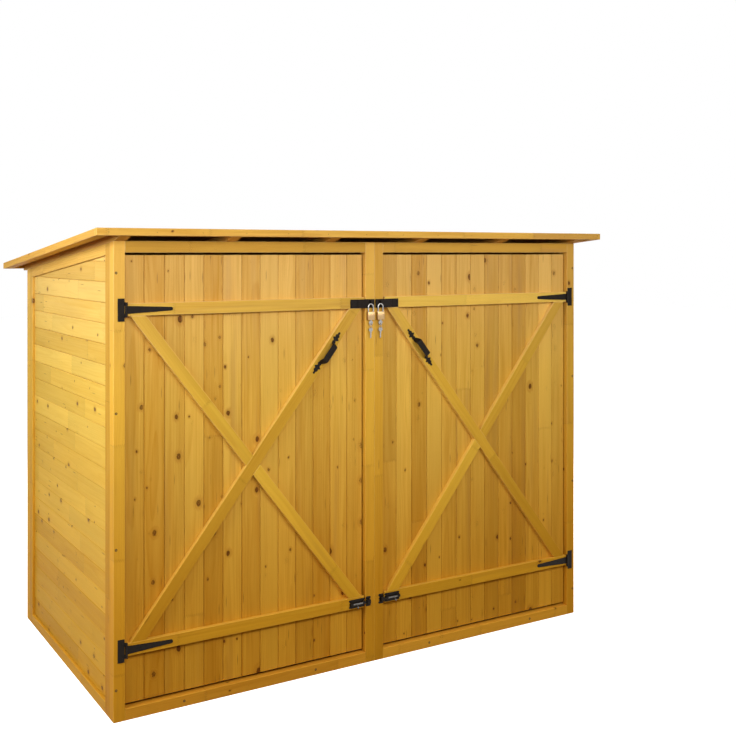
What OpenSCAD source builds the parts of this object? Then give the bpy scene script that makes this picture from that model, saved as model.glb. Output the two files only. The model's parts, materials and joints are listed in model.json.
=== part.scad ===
// Timber bike store: two framed door bays, panelled walls and a single-pitch roof.
// Millimetres, +Z up. The origin is under the middle of the roof, at ground level, with the doors
// facing -Y. The right half mirrors the left half, so each left piece is drawn at negative X.

/* [Building] */
// Width over the walls
store_w = 1960; // [1700:10:2300]
// Depth over the front and back frames
store_d = 1130; // [900:10:1400]
// Height of the front frame at its front face
front_h = 1541; // [1500:1:1700]
// Fall of the roof towards the back, in degrees
roof_pitch = 5.4; // [4:0.1:7]

/* [Frame] */
// Width and thickness of the squared frame timber
frame_w = 38; // [34:1:45]
// Width of the side wall posts, along the wall
wall_post_w = 48; // [40:1:60]
// Thickness of the wall boards
wall_board_t = 12; // [8:1:16]
// How far the wall boards sit behind the outer faces of their frames
wall_board_recess = 10; // [6:1:14]
// Depth of the grooves that hold the wall boards
groove_d = 8; // [4:1:12]

/* [Roof] */
// Overhang in front of the doors
overhang_front = 74; // [50:1:90]
// Overhang behind the back wall
overhang_back = 80; // [50:1:90]
// Overhang past each side wall
overhang_side = 78; // [50:1:90]
// Height of the edge boards round the roof
fascia_h = 24; // [20:1:30]
// Thickness of the front and back edge boards
fascia_t = 18; // [12:1:24]
// Width of the flat battens along the side edges
side_batten_w = 38; // [30:1:45]
// Thickness of the roof boards
roof_board_t = 10; // [8:1:12]
// Thickness of the felt
felt_t = 2; // [1:0.5:3]
// Number of rafters
rafter_count = 6; // [4:1:7]
// Width of a rafter
rafter_w = 40; // [30:1:50]

/* [Doors] */
// Gap at each side of a door
door_side_gap = 6; // [6:0.5:8]
// Gap under a door
door_bottom_gap = 10; // [8:1:15]
// Gap over a door
door_top_gap = 8; // [8:1:12]
// Thickness of the door boards
door_board_t = 12; // [10:1:15]
// Width of the ledges and braces
ledge_w = 41; // [36:1:46]
// Thickness of the ledges and braces
ledge_t = 18; // [15:1:22]
// Height of the middle of the bottom ledge
low_ledge_z = 226; // [150:1:300]
// Height of the middle of the top ledge
high_ledge_z = 1319; // [1200:1:1330]
// Distance from a door's edge to the middle of a brace's end
brace_inset = 38; // [32:1:60]

/* [Ironmongery] */
// Height of a hinge's plate on the post
hinge_plate_h = 74; // [60:1:80]
// Length of a hinge's strap, from its pin to its tip
strap_len = 158; // [120:1:200]
// Width of a strap at its pin
strap_root_w = 26; // [22:1:30]
// Width of a strap at its tip
strap_tip_w = 12; // [10:1:16]
// Thickness of the hinge and hasp plates
plate_t = 2.5; // [2:0.5:3]
// Length of a hasp, plate and leaf together
hasp_len = 101; // [90:1:110]
// Height of a hasp
hasp_h = 32; // [30:1:36]
// Length of a pull handle
handle_len = 180; // [160:1:200]
// Width of a padlock's body
padlock_w = 30; // [26:1:32]
// Height of a padlock's body
padlock_h = 29; // [26:1:32]
// Length of a barrel bolt's plate
bolt_plate_len = 65; // [60:1:80]
// Travel of a bolt
bolt_throw = 22; // [18:1:24]

/* [Hidden] */

LEFT = 1;
RIGHT = -1;
$fn = 48;

// The store in plan
half_w = store_w / 2;
roof_w = store_w + 2 * overhang_side;
roof_d = store_d + overhang_front + overhang_back;
roof_front_y = -roof_d / 2;
roof_back_y = roof_d / 2;
front_y = roof_front_y + overhang_front;
back_y = front_y + store_d;

// Heights over the sloping plane of the wall tops, where the rafters lie
seat_play = 0.1;
rafter_h = 21;
deck_top = rafter_h + roof_board_t;
fascia_top = deck_top + felt_t;
fascia_bottom = fascia_top - fascia_h;

// The two door bays
centre_gap = 1;
opening_in_x = -frame_w;
opening_out_x = -half_w + frame_w;
opening_top_z = front_h - frame_w;
door_in_x = opening_in_x - door_side_gap;
door_out_x = opening_out_x + door_side_gap;
door_bottom_z = frame_w + door_bottom_gap;
door_top_z = opening_top_z - door_top_gap;

// Braces run between the inner edges of the two ledges
brace_low_z = low_ledge_z + ledge_w / 2;
brace_high_z = high_ledge_z - ledge_w / 2;
brace_run = door_in_x - door_out_x - 2 * brace_inset;
brace_angle = atan2(brace_high_z - brace_low_z, brace_run);
brace_half_cut = ledge_w / 2 / sin(brace_angle);

// Hinges: the pin stands in front of the gap between post and door
pin_x = opening_out_x + door_side_gap / 2;
pin_y = front_y - 5;
pin_r = 2;
pin_play = 0.05;
knuckle_r = 4;
strap_knuckle_h = strap_root_w;
post_knuckle_h = 11;
knuckle_play = 0.5;
hinge_plate_w = 22;
hinge_plate_out_x = pin_x - 5.5 - hinge_plate_w;

// Hasp, staple and padlock, all on one height
lock_x = -21;
lock_z = high_ledge_z - 3;
leaf_in_x = -2.5;
hasp_out_x = leaf_in_x - hasp_len;
hasp_plate_len = 34;
hasp_knuckle_r = 3;
leaf_back_y = front_y - 3;
slot_w = 9;
slot_h = 25;
staple_plate_t = 1.5;
staple_plate_w = 18;
staple_plate_h = 28;
prong_w = 4;
prong_h = 5.5;
prong_reach = 16;
shackle_r = 2.75;
shackle_bend_r = 10.25;
leaf_play = 0.6;
shackle_y = leaf_back_y - plate_t - leaf_play - shackle_r;
shackle_bend_z = lock_z - 4 - shackle_bend_r + shackle_r;
padlock_t = 13;
padlock_top_z = shackle_bend_z - 19;
padlock_corner_r = 3;
shackle_seat = 0.2;

// Keys under each padlock
key_bow_r = 9;
key_t = 2;
key_ring_r = 7;
key_wire_r = 0.8;
key_blade_w = 6;
key_blade_len = 24;

// Pull handle on the main brace, measured from its middle along the brace
handle_z = 1144;
handle_x = door_out_x + brace_inset + (handle_z - brace_low_z) / tan(brace_angle);
handle_angle = brace_angle;
handle_end_len = 45;
handle_end_w = 26;
handle_neck_w = 12;
handle_plate_t = 3;
handle_grip_w = 23;
handle_grip_t = 4;
handle_reach = 30;
handle_shoulder = 16;

// Barrel bolt on the bottom ledge and its keeper on the centre post
bolt_z = low_ledge_z - 1;
bolt_plate_h = 31;
bolt_plate_t = 2;
bolt_rod_r = 4;
bolt_bore_r = 4.1;
bolt_y = front_y - 7;
guide_len = 10;
guide_h = 14;
guide_front_y = bolt_y - 6;
keeper_len = 20;
keeper_h = 35;
keeper_loop_len = 14;
keeper_loop_t = 2;
keeper_hole_h = 12;
keeper_hole_d = 10;
bolt_rest_tip_x = door_in_x + 2;
bolt_rod_len = 62;
knob_stem_r = 2.5;
knob_stem_len = 15;
knob_r = 4;
knob_tilt = 35;

honey = "goldenrod";
honey_dark = "darkgoldenrod";
iron = [0.11, 0.1, 0.1];
brass = [0.8, 0.66, 0.4];
chrome = "silver";

// Height of the plane under the rafters at depth y
function seat_z(y) = front_h - (y - front_y) * tan(roof_pitch);

// A band that follows the roof's fall between two depths, from height a to height b over the plane
function band(y0, y1, a, b) = [
    [y0, seat_z(y0) + a], [y1, seat_z(y1) + a], [y1, seat_z(y1) + b], [y0, seat_z(y0) + b]
];

// Draws a left piece as it is, or its mirror on the right
module on(side) {
    if (side == LEFT) {
        children();
    } else {
        mirror([1, 0, 0]) children();
    }
}

// A box between two corners
module block(low, high) {
    translate(low) cube(high - low);
}

// An outline in Y and Z, as thick as from x0 to x1
module across(x0, x1, outline) {
    translate([x0, 0, 0]) rotate([90, 0, 90]) linear_extrude(x1 - x0) polygon(outline);
}

// An outline in X and Z, from y_back forward by the given thickness
module facing(y_back, thickness) {
    translate([0, y_back, 0]) rotate([90, 0, 0]) linear_extrude(thickness) children();
}

// An upright with its top cut to the roof's fall
module upright(x0, x1, y0, y1) {
    across(x0, x1, [[y0, 0], [y1, 0], [y1, seat_z(y1)], [y0, seat_z(y0)]]);
}

// ---------------------------------------------------------------- front frame

module front_posts() {
    color(honey) for (side = [LEFT, RIGHT]) on(side) {
        upright(-half_w, opening_out_x, front_y, front_y + frame_w);
        upright(opening_in_x, -centre_gap / 2, front_y, front_y + frame_w);
    }
}

module front_top_rails() {
    back = front_y + frame_w;
    outline = [
        [front_y, opening_top_z], [back, opening_top_z], [back, seat_z(back)], [front_y, front_h]
    ];
    color(honey) for (side = [LEFT, RIGHT]) on(side) across(opening_out_x, opening_in_x, outline);
}

module front_bottom_rails() {
    color(honey) for (side = [LEFT, RIGHT]) on(side)
        block([opening_out_x, front_y, 0], [opening_in_x, front_y + frame_w, frame_w]);
}

// ---------------------------------------------------------------- walls

wall_front_y = front_y + frame_w;
wall_back_y = back_y - frame_w;
panel_front_y = wall_front_y + wall_post_w;
panel_back_y = wall_back_y - wall_post_w;

// The boards of a side wall as one panel, its edges in the grooves of the frame round it
module wall_board_panel() {
    y0 = panel_front_y - groove_d;
    y1 = panel_back_y + groove_d;
    top = groove_d - frame_w;
    outline = [
        [y0, frame_w - groove_d], [y1, frame_w - groove_d], [y1, seat_z(y1) + top], [y0, seat_z(y0) + top]
    ];
    x0 = -half_w + wall_board_recess;
    across(x0, x0 + wall_board_t, outline);
}

module wall_boards(side) {
    color(honey) on(side) wall_board_panel();
}

module wall_posts(side) {
    color(honey) on(side) difference() {
        union() {
            upright(-half_w, opening_out_x, wall_front_y, panel_front_y);
            upright(-half_w, opening_out_x, panel_back_y, wall_back_y);
        }
        wall_board_panel();
    }
}

module wall_rails(side) {
    color(honey) on(side) difference() {
        union() {
            block([-half_w, panel_front_y, 0], [opening_out_x, panel_back_y, frame_w]);
            across(-half_w, opening_out_x, band(panel_front_y, panel_back_y, -frame_w, 0));
        }
        wall_board_panel();
    }
}

// The boards of one bay of the back wall
module back_board_panel() {
    y0 = back_y - wall_board_recess - wall_board_t;
    z0 = frame_w - groove_d;
    z1 = seat_z(back_y) - frame_w + groove_d;
    block([opening_out_x - groove_d, y0, z0], [opening_in_x + groove_d, y0 + wall_board_t, z1]);
}

module back_boards() {
    color(honey) for (side = [LEFT, RIGHT]) on(side) back_board_panel();
}

module back_posts() {
    color(honey) for (side = [LEFT, RIGHT]) on(side) difference() {
        union() {
            upright(-half_w, opening_out_x, wall_back_y, back_y);
            upright(opening_in_x, -centre_gap / 2, wall_back_y, back_y);
        }
        back_board_panel();
    }
}

module back_rails() {
    low = seat_z(back_y) - frame_w;
    outline = [
        [wall_back_y, low], [back_y, low], [back_y, seat_z(back_y)], [wall_back_y, seat_z(wall_back_y)]
    ];
    color(honey) for (side = [LEFT, RIGHT]) on(side) difference() {
        union() {
            block([opening_out_x, wall_back_y, 0], [opening_in_x, back_y, frame_w]);
            across(opening_out_x, opening_in_x, outline);
        }
        back_board_panel();
    }
}

// ---------------------------------------------------------------- roof

deck_front_y = roof_front_y + fascia_t;
deck_back_y = roof_back_y - fascia_t;
deck_half_w = roof_w / 2 - side_batten_w;
rafter_taper = 12;

// Each rafter thins towards the edge board at the front
module rafters() {
    taper_y = front_y - rafter_taper;
    outline = [
        [deck_front_y, seat_z(deck_front_y) + fascia_bottom],
        [taper_y, seat_z(taper_y) + seat_play],
        [deck_back_y, seat_z(deck_back_y) + seat_play],
        [deck_back_y, seat_z(deck_back_y) + rafter_h],
        [deck_front_y, seat_z(deck_front_y) + rafter_h]
    ];
    first_x = -half_w;
    step = (store_w - rafter_w) / (rafter_count - 1);
    color(honey_dark) for (i = [0:rafter_count - 1]) {
        x0 = first_x + i * step;
        across(x0, x0 + rafter_w, outline);
    }
}

module roof_boards() {
    color(honey_dark) across(-deck_half_w, deck_half_w, band(deck_front_y, deck_back_y, rafter_h, deck_top));
}

module roof_felt() {
    outline = band(deck_front_y, deck_back_y, deck_top, fascia_top);
    color("dimgray") across(-deck_half_w, deck_half_w, outline);
}

module front_fascia() {
    outline = band(roof_front_y, deck_front_y, fascia_bottom, fascia_top);
    color(honey) across(-roof_w / 2, roof_w / 2, outline);
}

module back_fascia() {
    outline = band(deck_back_y, roof_back_y, fascia_bottom, fascia_top);
    color(honey) across(-roof_w / 2, roof_w / 2, outline);
}

module side_fascias() {
    outline = band(deck_front_y, deck_back_y, fascia_bottom, fascia_top);
    color(honey) for (side = [LEFT, RIGHT]) on(side) across(-roof_w / 2, -deck_half_w, outline);
}

// ---------------------------------------------------------------- doors

module door_boards(side) {
    y0 = front_y + ledge_t;
    color(honey) on(side)
        block([door_out_x, y0, door_bottom_z], [door_in_x, y0 + door_board_t, door_top_z]);
}

module door_ledges(side) {
    color(honey) on(side) for (z = [low_ledge_z, high_ledge_z])
        block([door_out_x, front_y, z - ledge_w / 2], [door_in_x, front_y + ledge_t, z + ledge_w / 2]);
}

// A brace's outline, from the middle of its low end to the middle of its high end
module brace_outline(low_x, high_x) {
    polygon([
        [low_x - brace_half_cut, brace_low_z], [low_x + brace_half_cut, brace_low_z],
        [high_x + brace_half_cut, brace_high_z], [high_x - brace_half_cut, brace_high_z]
    ]);
}

module main_brace_outline() {
    brace_outline(door_out_x + brace_inset, door_in_x - brace_inset);
}

module door_main_brace(side) {
    color(honey) on(side) facing(front_y + ledge_t, ledge_t) main_brace_outline();
}

// The second diagonal is in two pieces, cut to fit against the main brace
module door_cross_brace(side) {
    color(honey) on(side) facing(front_y + ledge_t, ledge_t) difference() {
        brace_outline(door_in_x - brace_inset, door_out_x + brace_inset);
        main_brace_outline();
    }
}

// ---------------------------------------------------------------- hinges

module post_hinge_plate(z) {
    knuckle_z = strap_knuckle_h / 2 + knuckle_play;
    block(
        [hinge_plate_out_x, front_y - plate_t, z - hinge_plate_h / 2],
        [hinge_plate_out_x + hinge_plate_w, front_y, z + hinge_plate_h / 2]
    );
    for (low = [z + knuckle_z, z - knuckle_z - post_knuckle_h]) {
        translate([pin_x, pin_y, low]) cylinder(r = knuckle_r, h = post_knuckle_h);
        block([hinge_plate_out_x + hinge_plate_w, front_y - plate_t, low], [pin_x, front_y, low + post_knuckle_h]);
    }
    translate([pin_x, pin_y, z - knuckle_z - 1]) cylinder(r = pin_r, h = 2 * knuckle_z + 2);
}

module post_hinge_plates() {
    color(iron) for (side = [LEFT, RIGHT]) on(side)
        for (z = [low_ledge_z, high_ledge_z]) post_hinge_plate(z);
}

// A tapered strap with a round tip, rolled into the middle knuckle
module hinge_strap(z) {
    tip_x = pin_x + strap_len - strap_tip_w / 2;
    difference() {
        union() {
            facing(front_y, plate_t) translate([0, z]) union() {
                polygon([
                    [pin_x, -strap_root_w / 2], [tip_x, -strap_tip_w / 2],
                    [tip_x, strap_tip_w / 2], [pin_x, strap_root_w / 2]
                ]);
                translate([tip_x, 0]) circle(d = strap_tip_w);
            }
            translate([pin_x, pin_y, z - strap_knuckle_h / 2]) cylinder(r = knuckle_r, h = strap_knuckle_h);
        }
        translate([pin_x, pin_y, z - strap_knuckle_h]) cylinder(r = pin_r + pin_play, h = 2 * strap_knuckle_h);
    }
}

module hinge_straps(side) {
    color(iron) on(side) for (z = [low_ledge_z, high_ledge_z]) hinge_strap(z);
}

// ---------------------------------------------------------------- hasps and padlocks

// A plate on the ledge, a knuckle, and the slotted leaf that reaches over the post
module hasp(side) {
    z0 = lock_z - hasp_h / 2;
    z1 = lock_z + hasp_h / 2;
    knuckle_x = hasp_out_x + hasp_plate_len;
    leaf_front_y = leaf_back_y - plate_t;
    color(iron) on(side) difference() {
        union() {
            block([hasp_out_x, front_y - plate_t, z0], [knuckle_x, front_y, z1]);
            translate([knuckle_x, front_y - hasp_knuckle_r, z0]) cylinder(r = hasp_knuckle_r, h = hasp_h);
            block([knuckle_x, leaf_front_y, z0], [leaf_in_x, leaf_back_y, z1]);
        }
        block(
            [lock_x - slot_w / 2, leaf_front_y - 1, lock_z - slot_h / 2],
            [lock_x + slot_w / 2, leaf_back_y + 1, lock_z + slot_h / 2]
        );
    }
}

// The staple's two prongs are open at the front, so the shackle can draw off them
module hasp_staple() {
    block(
        [lock_x - staple_plate_w / 2, front_y - staple_plate_t, lock_z - staple_plate_h / 2],
        [lock_x + staple_plate_w / 2, front_y, lock_z + staple_plate_h / 2]
    );
    for (z = [lock_z - 10.5, lock_z + 4.5])
        block(
            [lock_x - prong_w / 2, front_y - prong_reach, z],
            [lock_x + prong_w / 2, front_y - staple_plate_t, z + prong_h]
        );
}

module hasp_staples() {
    color(iron) for (side = [LEFT, RIGHT]) on(side) hasp_staple();
}

// The upright corners of the brass body are rounded
module padlock_body(side) {
    r = padlock_corner_r;
    color(brass) on(side) difference() {
        translate([lock_x, shackle_y, padlock_top_z - padlock_h]) linear_extrude(padlock_h) union() {
            square([padlock_w - 2 * r, padlock_t], center = true);
            square([padlock_w, padlock_t - 2 * r], center = true);
            for (x = [-1, 1], y = [-1, 1])
                translate([x * (padlock_w / 2 - r), y * (padlock_t / 2 - r)]) circle(r);
        }
        for (x = [-1, 1])
            translate([lock_x + x * shackle_bend_r, shackle_y, padlock_top_z - 6])
                cylinder(r = shackle_r + shackle_seat, h = 7);
    }
}

module padlock_shackle(side) {
    leg_bottom_z = padlock_top_z - 5;
    color(chrome) on(side) {
        for (x = [-1, 1])
            translate([lock_x + x * shackle_bend_r, shackle_y, leg_bottom_z])
                cylinder(r = shackle_r, h = shackle_bend_z - leg_bottom_z);
        translate([lock_x, shackle_y, shackle_bend_z]) rotate([90, 0, 0])
            rotate_extrude(angle = 180) translate([shackle_bend_r, 0]) circle(shackle_r);
    }
}

// One key in the lock, a ring through its bow, and a spare key on the ring
module keys(side) {
    lock_bottom_z = padlock_top_z - padlock_h;
    bow_z = lock_bottom_z - 2 - key_bow_r;
    ring_z = bow_z - key_bow_r - 2;
    spare_bow_z = ring_z - key_ring_r - 6;
    color(chrome) on(side) translate([lock_x, shackle_y, 0]) {
        translate([0, key_t / 2, bow_z]) rotate([90, 0, 0]) cylinder(r = key_bow_r, h = key_t);
        block([-key_blade_w / 2, -key_t / 2, bow_z], [key_blade_w / 2, key_t / 2, lock_bottom_z - 0.2]);
        translate([0, 0, ring_z]) rotate([0, 90, 0])
            rotate_extrude() translate([key_ring_r, 0]) circle(key_wire_r);
        translate([0, key_t / 2, spare_bow_z]) rotate([90, 0, 0]) cylinder(r = key_bow_r, h = key_t);
        block(
            [-key_blade_w / 2, -key_t / 2, spare_bow_z - key_bow_r - key_blade_len],
            [key_blade_w / 2, key_t / 2, spare_bow_z]
        );
    }
}

// ---------------------------------------------------------------- handles

// Half of an end plate's outline: a pointed leaf that narrows to a neck at the grip
module handle_end() {
    half_end = handle_end_w / 2;
    half_neck = handle_neck_w / 2;
    polygon([
        [0, half_neck], [handle_end_len * 0.3, half_end], [handle_end_len * 0.6, half_end],
        [handle_end_len, 0],
        [handle_end_len * 0.6, -half_end], [handle_end_len * 0.3, -half_end], [0, -half_neck]
    ]);
}

// A flat grip that stands off the brace between two end plates
module handle(side) {
    half_grip = handle_len / 2 - handle_end_len;
    inner = handle_reach - handle_grip_t;
    profile = [
        [-half_grip, 0], [-half_grip + handle_grip_t, 0], [-half_grip + handle_shoulder, inner],
        [half_grip - handle_shoulder, inner], [half_grip - handle_grip_t, 0], [half_grip, 0],
        [half_grip - handle_shoulder + handle_grip_t, handle_reach],
        [-half_grip + handle_shoulder - handle_grip_t, handle_reach]
    ];
    color(iron) on(side) translate([handle_x, front_y, handle_z]) rotate([0, -handle_angle, 0]) {
        rotate([90, 0, 0]) linear_extrude(handle_plate_t) {
            translate([half_grip - handle_grip_t, 0]) handle_end();
            mirror([1, 0]) translate([half_grip - handle_grip_t, 0]) handle_end();
        }
        translate([0, 0, handle_grip_w / 2]) rotate([0, 0, 180]) rotate([180, 0, 0])
            mirror([0, 1, 0]) linear_extrude(handle_grip_w) mirror([1, 0]) polygon(profile);
    }
}

// ---------------------------------------------------------------- barrel bolts

// A round bar along X at the height of the rod
module round_bar(x0, x1, r) {
    translate([x0, bolt_y, bolt_z]) rotate([0, 90, 0]) cylinder(r = r, h = x1 - x0);
}

module bolt_plate(side) {
    x1 = door_in_x;
    x0 = x1 - bolt_plate_len;
    color(iron) on(side) difference() {
        union() {
            block([x0, front_y - bolt_plate_t, bolt_z - bolt_plate_h / 2], [x1, front_y, bolt_z + bolt_plate_h / 2]);
            for (x = [x0 + 3, x1 - guide_len])
                block(
                    [x, guide_front_y, bolt_z - guide_h / 2],
                    [x + guide_len, front_y - bolt_plate_t, bolt_z + guide_h / 2]
                );
        }
        round_bar(x0 - 1, x1 + 1, bolt_bore_r);
    }
}

// A plate with a bent loop that takes the end of the rod
module bolt_keeper() {
    x0 = opening_in_x + 1;
    plate_y = front_y - bolt_plate_t;
    hole_y = plate_y - keeper_hole_d;
    hole_z = keeper_hole_h / 2;
    color(iron) {
        block([x0, plate_y, bolt_z - keeper_h / 2], [x0 + keeper_len, front_y, bolt_z + keeper_h / 2]);
        difference() {
            block(
                [x0, hole_y - keeper_loop_t, bolt_z - hole_z - keeper_loop_t],
                [x0 + keeper_loop_len, plate_y, bolt_z + hole_z + keeper_loop_t]
            );
            block([x0 - 1, hole_y, bolt_z - hole_z], [x0 + keeper_len, plate_y, bolt_z + hole_z]);
        }
    }
}

module bolt_keepers() {
    for (side = [LEFT, RIGHT]) on(side) bolt_keeper();
}

// The rod rests drawn back, with its knob hanging forward of the ledge
module bolt_rod(side) {
    x0 = bolt_rest_tip_x - bolt_rod_len;
    knob_x = door_in_x - guide_len - bolt_throw - knob_stem_r - 3;
    color(chrome) on(side) {
        round_bar(x0, bolt_rest_tip_x, bolt_rod_r);
        translate([knob_x, bolt_y, bolt_z]) rotate([90 + knob_tilt, 0, 0]) {
            cylinder(r = knob_stem_r, h = knob_stem_len);
            translate([0, 0, knob_stem_len]) sphere(knob_r);
        }
    }
}

front_posts();
front_top_rails();
front_bottom_rails();
wall_posts(LEFT);  // left_wall_posts
wall_rails(LEFT);  // left_wall_rails
wall_boards(LEFT);  // left_wall_boards
wall_posts(RIGHT);  // right_wall_posts
wall_rails(RIGHT);  // right_wall_rails
wall_boards(RIGHT);  // right_wall_boards
back_posts();
back_rails();
back_boards();
rafters();
roof_boards();
roof_felt();
front_fascia();
back_fascia();
side_fascias();
post_hinge_plates();
hasp_staples();
bolt_keepers();
door_boards(LEFT);  // left_door_boards
door_ledges(LEFT);  // left_door_ledges
door_main_brace(LEFT);  // left_door_main_brace
door_cross_brace(LEFT);  // left_door_cross_brace
hinge_straps(LEFT);  // left_hinge_straps
hasp(LEFT);  // left_hasp
handle(LEFT);  // left_handle
padlock_body(LEFT);  // left_padlock_body
padlock_shackle(LEFT);  // left_padlock_shackle
keys(LEFT);  // left_keys
bolt_plate(LEFT);  // left_bolt_plate
bolt_rod(LEFT);  // left_bolt_rod
door_boards(RIGHT);  // right_door_boards
door_ledges(RIGHT);  // right_door_ledges
door_main_brace(RIGHT);  // right_door_main_brace
door_cross_brace(RIGHT);  // right_door_cross_brace
hinge_straps(RIGHT);  // right_hinge_straps
hasp(RIGHT);  // right_hasp
handle(RIGHT);  // right_handle
padlock_body(RIGHT);  // right_padlock_body
padlock_shackle(RIGHT);  // right_padlock_shackle
keys(RIGHT);  // right_keys
bolt_plate(RIGHT);  // right_bolt_plate
bolt_rod(RIGHT);  // right_bolt_rod
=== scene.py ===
import json
import math
import random

import bmesh
import bpy
from mathutils import Matrix, Vector


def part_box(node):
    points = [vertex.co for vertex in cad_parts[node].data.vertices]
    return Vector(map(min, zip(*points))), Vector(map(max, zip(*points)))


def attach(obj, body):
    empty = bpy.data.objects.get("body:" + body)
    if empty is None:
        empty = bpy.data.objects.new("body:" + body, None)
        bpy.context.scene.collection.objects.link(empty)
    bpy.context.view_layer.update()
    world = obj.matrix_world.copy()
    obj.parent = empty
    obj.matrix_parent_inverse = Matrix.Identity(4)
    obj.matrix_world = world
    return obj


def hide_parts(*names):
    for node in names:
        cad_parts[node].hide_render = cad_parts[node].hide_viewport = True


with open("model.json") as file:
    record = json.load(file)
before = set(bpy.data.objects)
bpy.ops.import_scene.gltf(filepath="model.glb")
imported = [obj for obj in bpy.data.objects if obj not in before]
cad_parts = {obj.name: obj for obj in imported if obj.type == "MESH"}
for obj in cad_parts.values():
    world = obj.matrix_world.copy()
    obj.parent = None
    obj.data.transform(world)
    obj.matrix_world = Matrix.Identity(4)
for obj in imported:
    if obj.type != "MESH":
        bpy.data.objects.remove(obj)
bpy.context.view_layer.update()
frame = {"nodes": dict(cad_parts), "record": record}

scene = bpy.context.scene

# ---------------------------------------------------------------- Viewpoint
# A level camera at eye height, off the store's left front corner. Its picture is shifted down
# instead of tilted, so the posts stay upright.

eye_beside_corner = 1.043
eye_before_corner = 3.256
eye_height = 1.505
eye_turn = -31.5
eye_lens = 50.92
eye_shift = -0.1576

store_corner, front_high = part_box("front_posts")
eye = bpy.data.objects.new("eye", bpy.data.cameras.new("eye"))
scene.collection.objects.link(eye)
eye.location = (store_corner.x - eye_beside_corner, store_corner.y - eye_before_corner, eye_height)
eye.rotation_euler = (math.radians(90), 0, math.radians(eye_turn))
eye.data.lens = eye_lens
eye.data.shift_y = eye_shift
scene.camera = eye
scene.view_settings.view_transform = "Standard"

# ---------------------------------------------------------------- Light and floor
# Soft studio light: a wide lamp in front, another on the left, others on the far sides, and a warm
# dim room. Room and floor look white, but they give little light back. The floor is clear from below.

room_strength = 0.2
room_tint = (1.0, 0.9, 0.72, 1)
paper_white = (1, 1, 1, 1)
floor_half = 20.0
floor_as_seen = (0.8, 0.8, 0.8, 1)
floor_give_back = (0.16, 0.115, 0.06, 1)
floor_lift = 0.885
lift_under_walls = 0.01


class Wire:
    """An output of a node. Sums written with wires become Math nodes of the same tree."""

    def __init__(self, socket):
        self.socket = socket

    def __add__(self, other):
        return calc("ADD", self, other)

    def __sub__(self, other):
        return calc("SUBTRACT", self, other)

    def __rsub__(self, other):
        return calc("SUBTRACT", other, self)

    def __mul__(self, other):
        return calc("MULTIPLY", self, other)

    def __truediv__(self, other):
        return calc("DIVIDE", self, other)


def node(tree, kind, inputs=None, **settings):
    """Adds a node with its choices made and its inputs filled or wired. Gives its output wires."""
    made = tree.nodes.new(kind)
    for key, value in settings.items():
        setattr(made, key, value)
    for key, value in (inputs or {}).items():
        if isinstance(value, Wire):
            tree.links.new(value.socket, made.inputs[key])
        else:
            made.inputs[key].default_value = value
    by_number = {number: Wire(socket) for number, socket in enumerate(made.outputs)}
    by_name = {socket.name: Wire(socket) for socket in made.outputs}
    return {**by_number, **by_name}


def tree_of(*values):
    return next(value.socket.id_data for value in values if isinstance(value, Wire))


def calc(operation, *values):
    return node(tree_of(*values), "ShaderNodeMath", dict(enumerate(values)), operation=operation)[0]


def mixed(share, first, second, way="MIX"):
    """A mix of two colours. In the Mix node the colours are inputs 6 and 7, and output 2."""
    sockets = {0: share, 6: first, 7: second}
    tree = tree_of(share, first, second)
    return node(tree, "ShaderNodeMix", sockets, data_type="RGBA", blend_type=way)[2]


def parts_of(vector):
    parts = node(tree_of(vector), "ShaderNodeSeparateXYZ", {0: vector})
    return parts[0], parts[1], parts[2]


def emptied(owner):
    """The node tree of a world or a material, with nothing in it."""
    owner.use_nodes = True
    owner.node_tree.nodes.clear()
    return owner.node_tree


def seen_directly(tree):
    """1 for what the eye sees, and for what shiny metal shows."""
    rays = node(tree, "ShaderNodeLightPath")
    return calc("MAXIMUM", rays["Is Camera Ray"], rays["Is Glossy Ray"])


def lamp(name, place, target, width, depth, power):
    data = bpy.data.lights.new(name, "AREA")
    data.shape = "RECTANGLE"
    data.size = width
    data.size_y = depth
    data.energy = power
    made = bpy.data.objects.new(name, data)
    scene.collection.objects.link(made)
    made.location = place
    made.rotation_euler = (Vector(target) - Vector(place)).to_track_quat("-Z", "Y").to_euler()


lamp("front_lamp", place=(-0.25, -2.7, 1.95), target=(0.0, -0.57, 1.1), width=3.8, depth=0.8, power=54)
lamp("left_lamp", place=(-2.8, -0.75, 1.85), target=(-0.98, 0.0, 1.1), width=1.8, depth=0.8, power=51)
lamp("back_lamp", place=(0.3, 3.0, 2.4), target=(0.0, 0.56, 0.9), width=3.6, depth=1.2, power=98)
lamp("right_lamp", place=(3.0, 0.4, 2.3), target=(0.98, 0.0, 0.9), width=2.4, depth=1.2, power=82)

room = bpy.data.worlds.new("room")
tree = emptied(room)
seen = seen_directly(tree)
room_glow = {
    "Color": mixed(seen, room_tint, paper_white), "Strength": seen * (1 - room_strength) + room_strength,
}
node(tree, "ShaderNodeOutputWorld", {"Surface": node(tree, "ShaderNodeBackground", room_glow)[0]})
scene.world = room

floor_mesh = bpy.data.meshes.new("floor")
corners = [(x * floor_half, y * floor_half, 0) for x, y in ((-1, -1), (1, -1), (1, 1), (-1, 1))]
floor_mesh.from_pydata(corners, [], [(0, 1, 2, 3)])
floor = bpy.data.objects.new("floor", floor_mesh)
scene.collection.objects.link(floor)

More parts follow.
